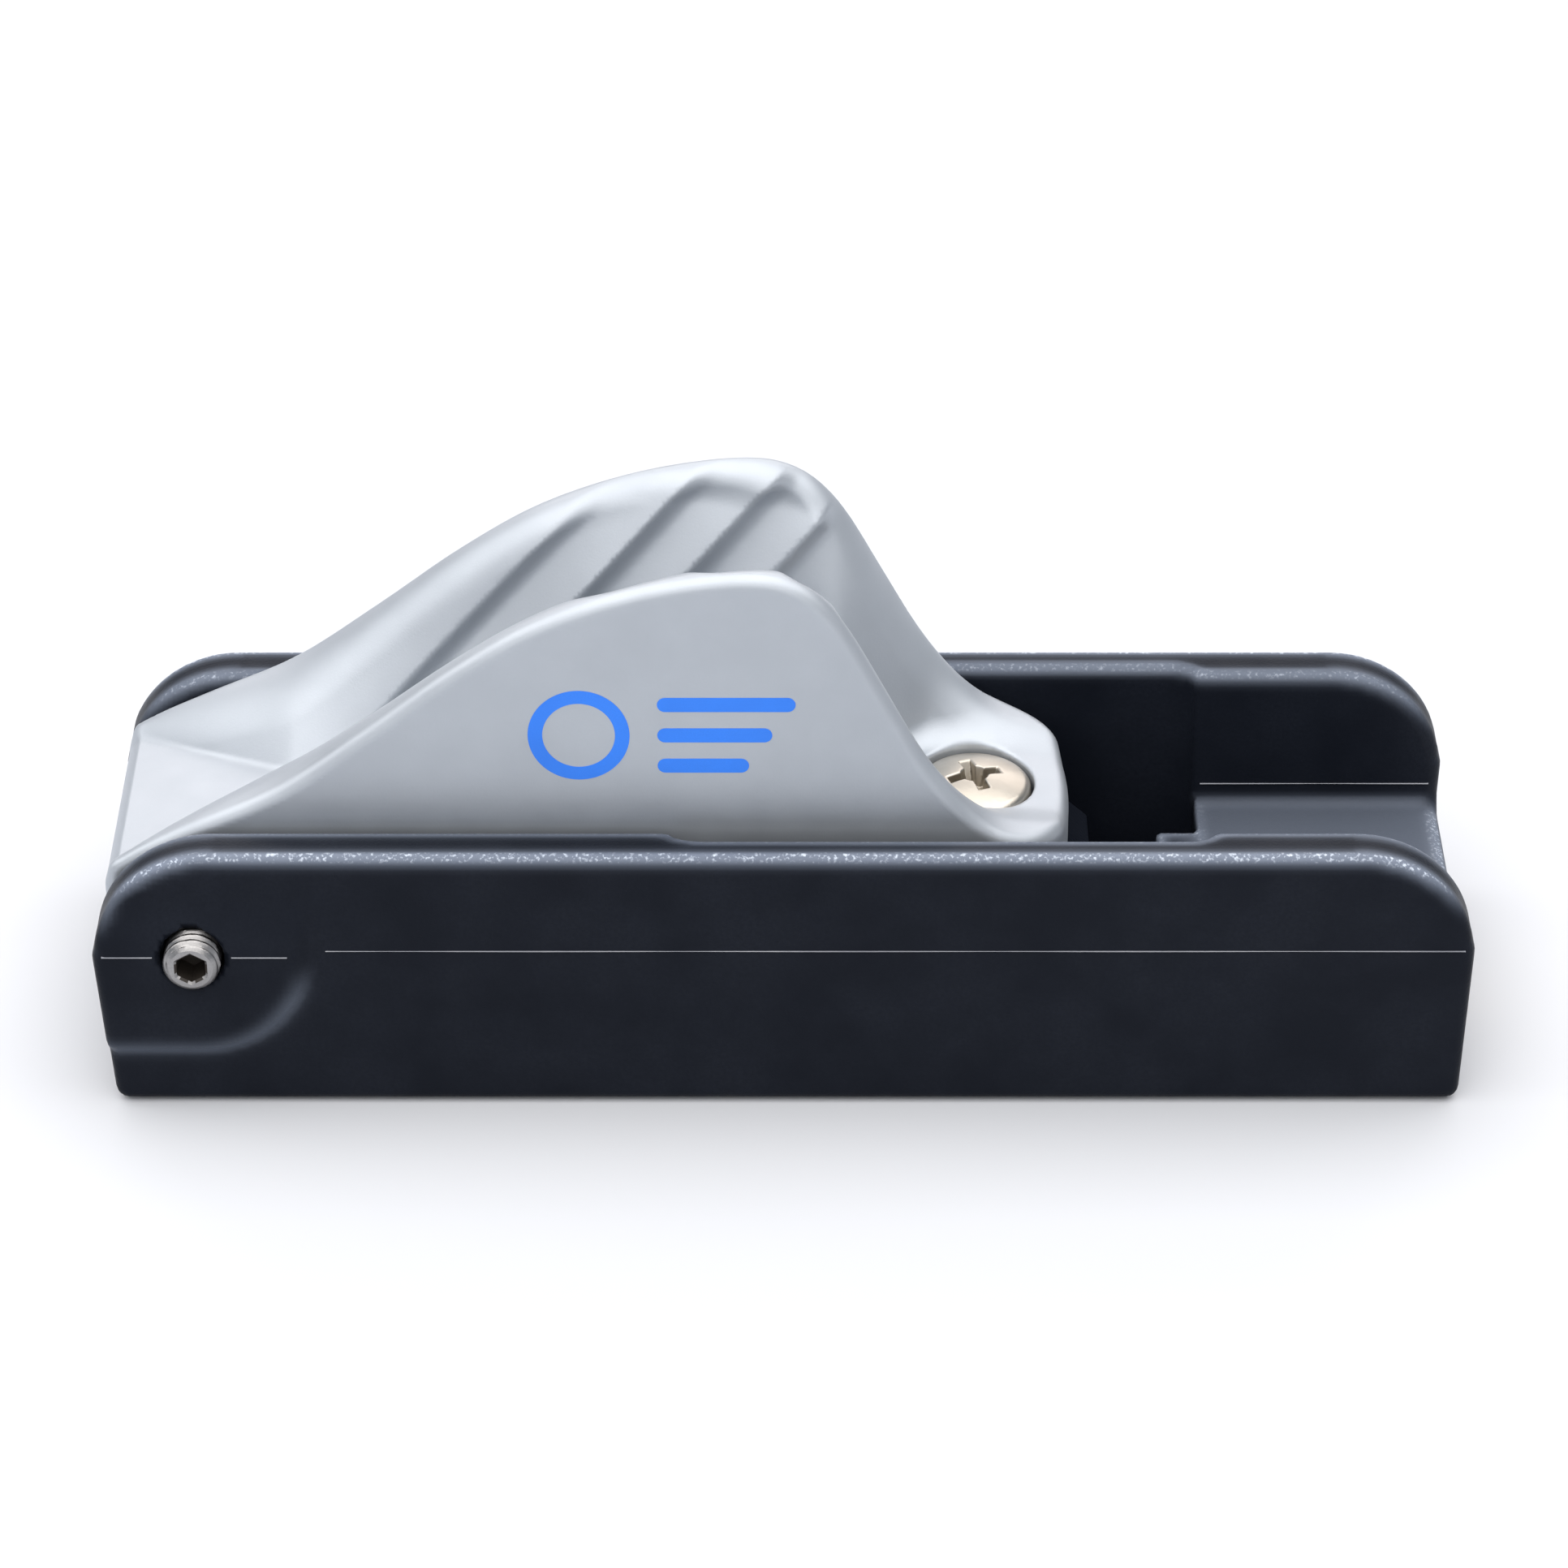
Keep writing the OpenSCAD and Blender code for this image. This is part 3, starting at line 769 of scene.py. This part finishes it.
def finish(name, colour, dark, metallic, roughness, grain_mm, grain, rough_spread=0.08,
           speckle=0.5, specular=0.5, edge=None):
    """A procedural finish: base colour that drifts between two tones, a fine surface grain as
    bump, uneven roughness, and painted highlights with painted glints on edges, where edge gives
    their colours."""
    mat = bpy.data.materials.new(name)
    mat.use_nodes = True
    nodes, links = mat.node_tree.nodes, mat.node_tree.links
    shader = nodes["Principled BSDF"]
    shader.inputs["Metallic"].default_value = metallic
    shader.inputs["Specular IOR Level"].default_value = specular
    place = nodes.new("ShaderNodeTexCoord")

    def noise(size_mm, detail):
        n = nodes.new("ShaderNodeTexNoise")
        n.inputs["Scale"].default_value = 1 / (size_mm * MM)
        n.inputs["Detail"].default_value = detail
        links.new(place.outputs["Object"], n.inputs["Vector"])
        return n.outputs["Fac"]

    def ramp(source, low, high, a, b):
        r = nodes.new("ShaderNodeMapRange")
        r.inputs["From Min"].default_value = low
        r.inputs["From Max"].default_value = high
        r.inputs["To Min"].default_value = a
        r.inputs["To Max"].default_value = b
        links.new(source, r.inputs["Value"])
        return r.outputs["Result"]

    def mix(factor, a, b):
        m = nodes.new("ShaderNodeMix")
        m.data_type = "RGBA"
        for value, socket in zip((a, b), [s for s in m.inputs if s.type == "RGBA"]):
            if isinstance(value, tuple):
                socket.default_value = (*value, 1)
            else:
                links.new(value, socket)
        links.new(factor, m.inputs["Factor"])
        return [s for s in m.outputs if s.type == "RGBA"][0]

    tone = mix(ramp(noise(TONE_MM, 3), 0.35, 0.65, 0, 1), colour, dark)
    fine = noise(grain_mm, 4)
    tone = mix(ramp(fine, 0.3, 0.7, 0, speckle), tone, dark)
    # painted highlights on the masked edges, with painted glints where the mask is strong
    if edge:
        light, glint = edge
        mask = nodes.new("ShaderNodeAttribute")
        mask.attribute_name = HIGHLIGHT_MASK
        spark = nodes.new("ShaderNodeMath")
        spark.operation = "MULTIPLY"
        links.new(ramp(noise(GLINT_MM, 3), 0.53, 0.70, 0, 1), spark.inputs[0])
        links.new(ramp(mask.outputs["Fac"], GLINT_FROM, GLINT_FULL, 0, 1), spark.inputs[1])
        tone = mix(mask.outputs["Fac"], tone, mix(spark.outputs["Value"], light, glint))
    links.new(tone, shader.inputs["Base Color"])
    low, high = roughness - rough_spread, roughness + rough_spread
    links.new(ramp(noise(ROUGH_MM, 3), 0.3, 0.7, low, high), shader.inputs["Roughness"])
    bump = nodes.new("ShaderNodeBump")
    bump.inputs["Strength"].default_value = grain
    bump.inputs["Distance"].default_value = grain_mm * MM * 0.5
    links.new(fine, bump.inputs["Height"])
    links.new(bump.outputs["Normal"], shader.inputs["Normal"])
    return mat


# the nylon's edge colours are the painted highlight's tone and its painted glints
NYLON = finish("nylon_black", (0.0105, 0.0128, 0.0190), (0.0066, 0.0083, 0.0130), 0, 0.42, 0.24,
               0.25, rough_spread=0.06, speckle=0.6, specular=0.06,
               edge=((0.19, 0.22, 0.28), (0.68, 0.75, 0.86)))
# the flash lines are lighter than the nylon: a painted highlight along their thin ridges
FLASH_HIGHLIGHT = finish("nylon_flash_highlight", (0.30, 0.31, 0.34), (0.18, 0.19, 0.22), 0, 0.45, 0.2, 0.2)
ALLOY = finish("alloy_satin", (0.415, 0.447, 0.488), (0.39, 0.42, 0.46), 0.6, 0.46, 0.16, 0.10,
               rough_spread=0.03, speckle=0.3)
STEEL = finish("stainless", (0.34, 0.335, 0.335), (0.24, 0.235, 0.235), 1, 0.36, 0.12, 0.15)
# painted shade for the inside of the set screws' sockets
SOCKET_SHADE = finish("socket_painted_shade", (0.035, 0.028, 0.022), (0.015, 0.012, 0.01), 0.3, 0.55, 0.12,
                0.15)
NICKEL = finish("nickel", (0.53, 0.495, 0.44), (0.46, 0.425, 0.37), 1, 0.36, 0.4, 0.08)
BRASS = finish("brass", (0.72, 0.53, 0.24), (0.60, 0.42, 0.18), 1, 0.28, 0.15, 0.10)
ACETAL = finish("acetal_white", (0.80, 0.79, 0.74), (0.74, 0.72, 0.66), 0, 0.38, 0.2, 0.08)
INK = finish("ink_blue", (0.030, 0.195, 0.78), (0.026, 0.17, 0.70), 0, 0.42, 0.12, 0.05,
             specular=0.3)


def dress(obj, material, slot, body, *replaced):
    """Gives a piece its material and body, and hides the CAD nodes that it stands for; slot is
    not used.
    """
    obj.data.materials.clear()
    obj.data.materials.append(material)
    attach(obj, body)
    if replaced:
        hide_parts(*replaced)
    return obj


# ---------------------------------------------------------------- base

BASE_CELL = 0.40
INSERT_EDGE = 0.2
INSERT_KNURL = 0.25

# Painted highlights: how much the block's top takes as painted sheen, the corners beside it as
# painted highlight and the bosses' lower edge as painted reflection, how the bend of an edge
# counts, and what the walls' outer edges take more than their inner ones
BLOCK_SHEEN = 0.38
CORNER_HIGHLIGHT = 0.42
BOSS_REFLECTION = 0.44
BOSS_REFLECTION_R = 7.7
BOSS_REFLECTION_WIDTH = 0.55
BEND_NUDGE = 0.4
BEND_GAIN, BEND_LEAST = 1.5, 0.25
HOLLOW_GAIN = 1.2
INNER_SHARE, OUTER_MORE = 0.7, 0.3
PIVOT_CLEAR_R = 4
EVEN_ROUNDS = 3

# The parting's thin raised line, and how far it keeps from the pivot's mouth, the boss's edge
# and the ends
FLASH_HALF = 0.08
FLASH_PROUD = 0.09
FLASH_SUNK = 0.1
FLASH_STEP = 2.0
MOUTH_GAP = 2.75
BOSS_GAP = (6.6, 9.2)
END_GAP = 0.75
INNER_END_GAP = 0.9
BLOCK_GAP = 0.4


def evened(obj, values, rounds):
    """Values at the mesh's points, each moved halfway to its neighbours' mean, so many times."""
    ends = np.empty(2 * len(obj.data.edges), np.int32)
    obj.data.edges.foreach_get("vertices", ends)
    a, b = ends.reshape(-1, 2).T
    n = len(values)
    count = np.maximum(np.bincount(a, minlength=n) + np.bincount(b, minlength=n), 1)
    for _ in range(rounds):
        near = np.bincount(a, values[b], n) + np.bincount(b, values[a], n)
        values = 0.5 * values + 0.5 * near / count
    return values


def painted_highlights(obj, field):
    """Writes the painted highlight mask at each point: painted highlights on convex edges that
    face up and in the corners beside the rear block, painted sheen on the block's top, and a
    painted reflection on the lower edge of the bosses."""
    points = np.array([v.co for v in obj.data.vertices]) / MM
    bend = sum((unit_gradient(field, points + BEND_NUDGE * e)
                - unit_gradient(field, points - BEND_NUDGE * e))[:, k] / (2 * BEND_NUDGE)
               for k, e in enumerate(np.eye(3)))
    across, up = unit_gradient(field, points)[:, 1:].T
    x, y, z = points.T
    outer = INNER_SHARE + OUTER_MORE * smoothstep((np.sign(y) * across + 0.2) / 0.4)
    clear = np.hypot(x - PIVOT[0], z - PIVOT[2]) > PIVOT_CLEAR_R
    convex = np.clip(BEND_GAIN * bend - BEND_LEAST, 0, 1)
    # painted highlight on convex edges that face up, stronger on the walls' outer edges
    edge = convex * smoothstep((up - 0.3) / 0.45) * clear * outer
    on_block = smoothstep((x - BLOCK_X + 3) / 4) * (np.abs(y) < INNER_HALF)
    level = np.abs(z - BLOCK_TOP) < 0.2
    # painted sheen: the block's upward-facing top made lighter
    block_sheen = BLOCK_SHEEN * smoothstep((up - 0.8) / 0.15) * level * on_block
    # painted highlight in the upward-facing hollow corners beside the block
    hollow = np.clip(-HOLLOW_GAIN * bend, 0, 1) * smoothstep((up - 0.2) / 0.4)
    corner = CORNER_HIGHLIGHT * hollow * (z < BLOCK_TOP + 1) * on_block
    # painted reflection along the lower edge of the bosses
    band = np.exp(-((boss_reach(x, z) - BOSS_REFLECTION_R) / BOSS_REFLECTION_WIDTH) ** 2)
    boss = BOSS_REFLECTION * band * smoothstep((PARTING_Z - 0.5 - z) / 4)
    boss *= np.abs(y) > HALF_W - 0.1
    values = evened(obj, np.maximum.reduce([edge, block_sheen, corner, boss]), EVEN_ROUNDS)
    mask = obj.data.attributes.new(HIGHLIGHT_MASK, "FLOAT", "POINT")
    mask.data.foreach_set("value", values.astype(np.float32))


def parting_flash():
    """The thin lines that the mould's parting leaves on the outer faces and beside the block."""
    def outer(x):
        return HALF_W + float(boss_rise(np.array(x), np.array(PARTING_Z)))

    def inner(x):
        return -INNER_HALF

    lines = [(outer, PARTING_Z, END_GAP - HALF_LEN, PIVOT[0] - MOUTH_GAP),
             (outer, PARTING_Z, PIVOT[0] + MOUTH_GAP, PIVOT[0] + BOSS_GAP[0]),
             (outer, PARTING_Z, PIVOT[0] + BOSS_GAP[1], HALF_LEN - END_GAP),
             (inner, INNER_PARTING_Z, BLOCK_X + BLOCK_GAP, HALF_LEN - INNER_END_GAP)]
    vertices, faces = [], []
    for side in (-1, 1):
        for face_at, height, x0, x1 in lines:
            stations = np.linspace(x0, x1, max(2, int((x1 - x0) / FLASH_STEP) + 1))
            first = len(vertices)
            for x in stations:
                proud = FLASH_PROUD * (0.4 + 0.6 * abs(math.sin(1.7 * x)))
                for dz, out in ((-FLASH_HALF, -FLASH_SUNK), (FLASH_HALF, -FLASH_SUNK),
                                (0.0, proud)):
                    vertices.append((x, side * abs(face_at(x) + out), height + dz))
            for i in range(len(stations) - 1):
                a, b = first + 3 * i, first + 3 * (i + 1)
                for k in range(3):
                    m = (k + 1) % 3
                    faces.append((a + k, a + m, b + m, b + k))
            last = first + 3 * (len(stations) - 1)
            faces += [(first, first + 1, first + 2), (last + 2, last + 1, last)]
    obj = new_object("parting_flash", vertices, faces, smooth=False)
    fix_normals(obj)
    return obj


def make_base():
    channel = field_object("channel_moulding", base_field, base_low, base_high, BASE_CELL)
    painted_highlights(channel, base_field)
    dress(channel, NYLON, "nylon_black", "base", "base_channel")
    # parting flash in a lighter grey: painted highlight
    dress(parting_flash(), FLASH_HIGHLIGHT, "nylon_black", "base")


def make_pivot():
    radius, pitch, socket, socket_depth = 2.0, 0.7, 2.0, 2.2
    low, high = corners("pivot_screw")
    screw = set_screw("pivot_stud", "y", PIVOT, low[1], high[1], radius, pitch, socket,
                      socket_depth)
    dress(screw, STEEL, "stainless", "base", "pivot_screw")
    paint_socket_shade(screw, "y", PIVOT, low[1], socket)
    low, high = corners("pivot_insert")
    insert = ring_part("pivot_insert_turned", "y", PIVOT, high[1], low[1], PIVOT_SEAT_R,
                       PIVOT_HOLE_R, INSERT_EDGE, knurl=INSERT_KNURL)
    dress(insert, BRASS, "brass", "base", "pivot_insert")


# ---------------------------------------------------------------- cleat

CAST_CELL = 0.30
CATCH_SCREW_CELL = 0.11
BLOCK_EDGE = 0.4
PLATE_EDGE = 0.12
BUSH_BORE_R = 2.05
BUSH_FLANGE = (4.0, 0.5)
NUT_ACROSS = 7.0
NUT_CHAMFER_R = 3.95 * 0.93
NUT_CHAMFER = 0.35
NUT_BORE_R = 2.02
NUT_MOUTH_R = 2.2
NUT_MOUTH = 0.2


def catch_nut():
    """A hexagon nut with chamfered corners and a bore that opens at both ends."""
    low, high = corners("catch_nut")
    bottom, top = low[2], high[2]
    flats = hexagon(NUT_ACROSS)

    def chamfered(angle):
        return min(flats(angle), NUT_CHAMFER_R)

    rows = [(bottom, NUT_MOUTH_R), (bottom, chamfered), (bottom + NUT_CHAMFER, flats),
            (top - NUT_CHAMFER, flats), (top, chamfered), (top, NUT_MOUTH_R),
            (top - NUT_MOUTH, NUT_BORE_R), (bottom + NUT_MOUTH, NUT_BORE_R)]
    return turned("catch_nut_hex", "z", CATCH, rows, 72, closed_ends=False)


def make_cleat():
    low = np.minimum(cleat_low, (NOSE_X, 0, 0))
    casting = field_object("cleat_casting", cleat_field, low, cleat_high, CAST_CELL)
    dress(casting, ALLOY, "alloy_satin", "cleat", "cleat_body")
    for side, node in ((-1, "pivot_bush_near"), (1, "pivot_bush_far")):
        low, high = corners(node)
        start, end = (low[1], high[1]) if side < 0 else (high[1], low[1])
        bush = ring_part(node + "_turned", "y", PIVOT, start, end, BUSH_HOLE_R, BUSH_BORE_R,
                         flange=BUSH_FLANGE)
        dress(bush, ACETAL, "acetal_white", "cleat", node)
    low, high = corners("catch_screw")
    screw = field_object("catch_screw_head", catch_screw_field, low, high, CATCH_SCREW_CELL)
    dress(screw, NICKEL, "nickel", "cleat", "catch_screw")
    block = softened("catch_block", "catch_block_moulding", BLOCK_EDGE)
    dress(block, NYLON, "nylon_black", "cleat", "catch_block")
    plate = softened("strike_plate", "strike_plate_pressed", PLATE_EDGE)
    dress(plate, STEEL, "stainless", "cleat", "strike_plate")
    dress(catch_nut(), STEEL, "stainless", "cleat", "catch_nut")


# ---------------------------------------------------------------- generic mark

MARK_LIFT = 0.03
MARK_SUNK = 0.05
MARK_X = -14.1
MARK_Z = 27.4
RING_R = 3.0
RING_WIDTH = 1.0
BAR_COUNT = 3
BAR_GAP = 5.4
BAR_LENGTH = 9.5
BAR_SHORTER = 1.6
BAR_PITCH = 2.4
BAR_WIDTH = 1.1


def on_side(x, z, lift):
    """A point on the casting's near side, or above it by lift."""
    return (x, -(CLEAT_HALF - math.tan(DRAFT) * (z - PAD_Z)) - lift, z)


def ring(vertices, faces):
    """A flat ring, as two circles on the side face and two just inside it."""
    path = np.array([(MARK_X + RING_R * math.cos(a), MARK_Z + RING_R * math.sin(a))
                     for a in np.linspace(0, 2 * math.pi, 72, endpoint=False)])
    tangent = np.roll(path, -1, 0) - np.roll(path, 1, 0)
    tangent /= np.linalg.norm(tangent, axis=1, keepdims=True)
    across = np.stack([-tangent[:, 1], tangent[:, 0]], 1) * RING_WIDTH / 2
    n, first = len(path), len(vertices)
    for lift in (MARK_LIFT, -MARK_SUNK):
        for edge in (path + across, path - across):
            vertices.extend(on_side(*q, lift) for q in edge)
    top_l, top_r, low_l, low_r = (first + k * n for k in range(4))
    for i in range(n):
        j = (i + 1) % n
        faces.append((top_l + i, top_l + j, top_r + j, top_r + i))
        faces.append((low_l + i, low_r + i, low_r + j, low_l + j))
        faces.append((top_l + i, low_l + i, low_l + j, top_l + j))
        faces.append((top_r + i, top_r + j, low_r + j, low_r + i))


def bar(vertices, faces, x0, x1, z):
    """A flat bar with round ends, as one outline on the side face and one just inside it."""
    r = BAR_WIDTH / 2
    ends = [(x1 - r, -math.pi / 2), (x0 + r, math.pi / 2)]
    outline = [(cx + r * math.cos(a0 + a), z + r * math.sin(a0 + a))
               for cx, a0 in ends for a in np.linspace(0, math.pi, 13)]
    n, first = len(outline), len(vertices)
    for lift in (MARK_LIFT, -MARK_SUNK):
        vertices.extend(on_side(*q, lift) for q in outline)
    faces.append(tuple(first + i for i in range(n)))
    faces.append(tuple(first + n + i for i in reversed(range(n))))
    for i in range(n):
        j = (i + 1) % n
        faces.append((first + i, first + n + i, first + n + j, first + j))


def make_mark():
    """A plain printed sign: a ring beside three rounded bars. It stands for no maker."""
    vertices, faces = [], []
    ring(vertices, faces)
    for k in range(BAR_COUNT):
        x0 = MARK_X + BAR_GAP
        x1 = x0 + BAR_LENGTH - BAR_SHORTER * k
        bar(vertices, faces, x0, x1, MARK_Z + BAR_PITCH - BAR_PITCH * k)
    obj = new_object("printed_mark", vertices, faces, smooth=False)
    fix_normals(obj)
    dress(obj, INK, "ink_blue", "cleat")


# ---------------------------------------------------------------- release parts

GUIDE_HOLE_R = 2.25
ADJUSTER_R = 2.5
ADJUSTER_PITCH = 0.8
ADJUSTER_SOCKET = 2.5
ADJUSTER_HOLE_R = 2.55
ROD_R = 2.2
TIP_R = 0.8
COLLAR_R = 2.6
COLLAR_X = (31.3, 33.0)
SPIGOT_R = 1.4
SEAT_FLANGE = 1.2
SPRING_COIL_R = 2.0
SPRING_WIRE_R = 0.275
SPRING_TURNS = 5


def make_release():
    axis_point = np.array([0, 0, RELEASE_Z])
    low, high = corners("plunger_guide")
    guide = ring_part("plunger_guide_turned", "x", axis_point, low[0], high[0], GUIDE_BORE[0],
                      GUIDE_HOLE_R, INSERT_EDGE)
    dress(guide, BRASS, "brass", "base", "plunger_guide")
    low, high = corners("adjuster_insert")
    insert = ring_part("adjuster_insert_turned", "x", axis_point, high[0], low[0],
                       ADJUSTER_BORE[0], ADJUSTER_HOLE_R, INSERT_EDGE, knurl=INSERT_KNURL)
    dress(insert, BRASS, "brass", "base", "adjuster_insert")
    low, high = corners("adjuster_screw")
    screw = set_screw("adjuster_stud", "x", axis_point, high[0], low[0], ADJUSTER_R,
                      ADJUSTER_PITCH, ADJUSTER_SOCKET, ADJUSTER_SOCKET)
    dress(screw, STEEL, "stainless", "adjuster", "adjuster_screw")
    paint_socket_shade(screw, "x", axis_point, high[0], ADJUSTER_SOCKET)

    # plunger: a pointed tip, the rod, the collar that the spring bears on and a spigot inside it
    low, high = corners("detent_plunger")
    rows = [(low[0], TIP_R), (low[0] + 0.15, TIP_R + 0.2),
            (low[0] + 3.0, ROD_R - 0.1), (low[0] + 3.2, ROD_R), (COLLAR_X[0], ROD_R),
            (COLLAR_X[0], COLLAR_R - 0.1), (COLLAR_X[0] + 0.1, COLLAR_R),
            (COLLAR_X[1] - 0.1, COLLAR_R), (COLLAR_X[1], COLLAR_R - 0.1),
            (COLLAR_X[1], SPIGOT_R), (high[0] - 0.2, SPIGOT_R), (high[0], SPIGOT_R - 0.2)]
    plunger = turned("plunger_turned", "x", axis_point, rows)
    dress(plunger, STEEL, "stainless", "plunger", "detent_plunger")

    # seat: a spigot inside the spring and a flange behind it
    low, high = corners("spring_seat")
    flange = high[0] - SEAT_FLANGE
    rows = [(low[0], SPIGOT_R - 0.2), (low[0] + 0.2, SPIGOT_R), (flange, SPIGOT_R),
            (flange, COLLAR_R - 0.1), (flange + 0.1, COLLAR_R),
            (high[0] - 0.1, COLLAR_R), (high[0], COLLAR_R - 0.1)]
    seat = turned("spring_seat_turned", "x", axis_point, rows)
    dress(seat, STEEL, "stainless", "seat", "spring_seat")

    # The spring is in two halves, so that each end of it stays on the piece that it bears on: the
    # front half goes with the plunger and the rear half with the seat.
    low, high = corners("detent_spring")

    def half_spring(name, share):
        return helix(name, low[0], high[0], SPRING_COIL_R, SPRING_WIRE_R, SPRING_TURNS,
                     axis_point, share)

    front = half_spring("spring_coil_front", (0, 0.5))
    dress(front, STEEL, "stainless", "plunger")
    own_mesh(front)
    rear = half_spring("spring_coil", (0.5, 1))
    dress(rear, STEEL, "stainless", "seat", "detent_spring")
    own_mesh(rear)


# ---------------------------------------------------------------- floor, light and camera
# Sizes in this part are in metres.

FLOOR_HALF = 3.0
FLOOR_DROP = 0.0002
FLOOR_COLOUR = (0.53, 0.545, 0.575, 1)
FLOOR_ROUGHNESS = 0.9
SKY_COLOUR = (0.74, 0.85, 1.0, 1)
SKY_STRENGTH = 0.30
AIM = Vector((0, 0, 0.02))
WARM = (1.0, 0.965, 0.93)
CAMERA_PLACE = (0, -0.3342, 0.2305)
CAMERA_TILT = math.radians(57.5)
CAMERA_LENS = 128.2


def soft_light(name, place, width, depth, radiance, colour):
    """A flat panel that faces the object and looks as bright as radiance from every side."""
    light = bpy.data.lights.new(name, "AREA")
    light.shape = "RECTANGLE"
    light.size, light.size_y = width, depth
    light.energy = radiance * math.pi * width * depth
    light.color = colour
    obj = bpy.data.objects.new(name, light)
    bpy.context.scene.collection.objects.link(obj)
    obj.location = place
    obj.rotation_euler = (AIM - Vector(place)).to_track_quat("-Z", "Y").to_euler()
    obj.visible_camera = False


def make_stage():
    corner = FLOOR_HALF / MM
    square = [(-corner, -corner, 0), (corner, -corner, 0), (corner, corner, 0),
              (-corner, corner, 0)]
    floor = new_object("floor", square, [(0, 1, 2, 3)], smooth=False)
    floor.location.z = -FLOOR_DROP
    mat = bpy.data.materials.new("floor_pale")
    mat.use_nodes = True
    shader = mat.node_tree.nodes["Principled BSDF"]
    shader.inputs["Base Color"].default_value = FLOOR_COLOUR
    shader.inputs["Roughness"].default_value = FLOOR_ROUGHNESS
    floor.data.materials.append(mat)
    world = bpy.data.worlds.new("studio")
    bpy.context.scene.world = world
    world.use_nodes = True
    background = world.node_tree.nodes["Background"]
    background.inputs["Color"].default_value = SKY_COLOUR
    background.inputs["Strength"].default_value = SKY_STRENGTH
    soft_light("overhead", (0.0, -0.03, 0.62), 1.50, 0.90, 2.7, WARM)
    soft_light("front_panel", (-0.05, -0.85, 0.54), 1.30, 0.80, 1.75, WARM)
    soft_light("back_panel", (0.0, 1.00, 0.60), 1.60, 0.60, 2.2, (1.0, 0.93, 0.90))
    soft_light("left_box", (-0.85, 0.0, 0.40), 0.60, 0.60, 1.3, (1.0, 0.98, 0.95))


def make_camera():
    """Looks along +Y and 32.5 degrees down, at a point 17.6 mm above the frame's origin. The
    plain view transform keeps the nylon as dark and the floor as pale as their colours say."""
    camera = bpy.data.cameras.new("camera")
    camera.lens = CAMERA_LENS
    camera.sensor_width = 36
    camera.clip_start = 0.01
    obj = bpy.data.objects.new("camera", camera)
    bpy.context.scene.collection.objects.link(obj)
    obj.location = CAMERA_PLACE
    obj.rotation_euler = (CAMERA_TILT, 0, 0)
    bpy.context.scene.camera = obj
    bpy.context.scene.view_settings.view_transform = "Standard"


make_camera()
make_stage()
make_base()
make_pivot()
make_cleat()
make_mark()
make_release()
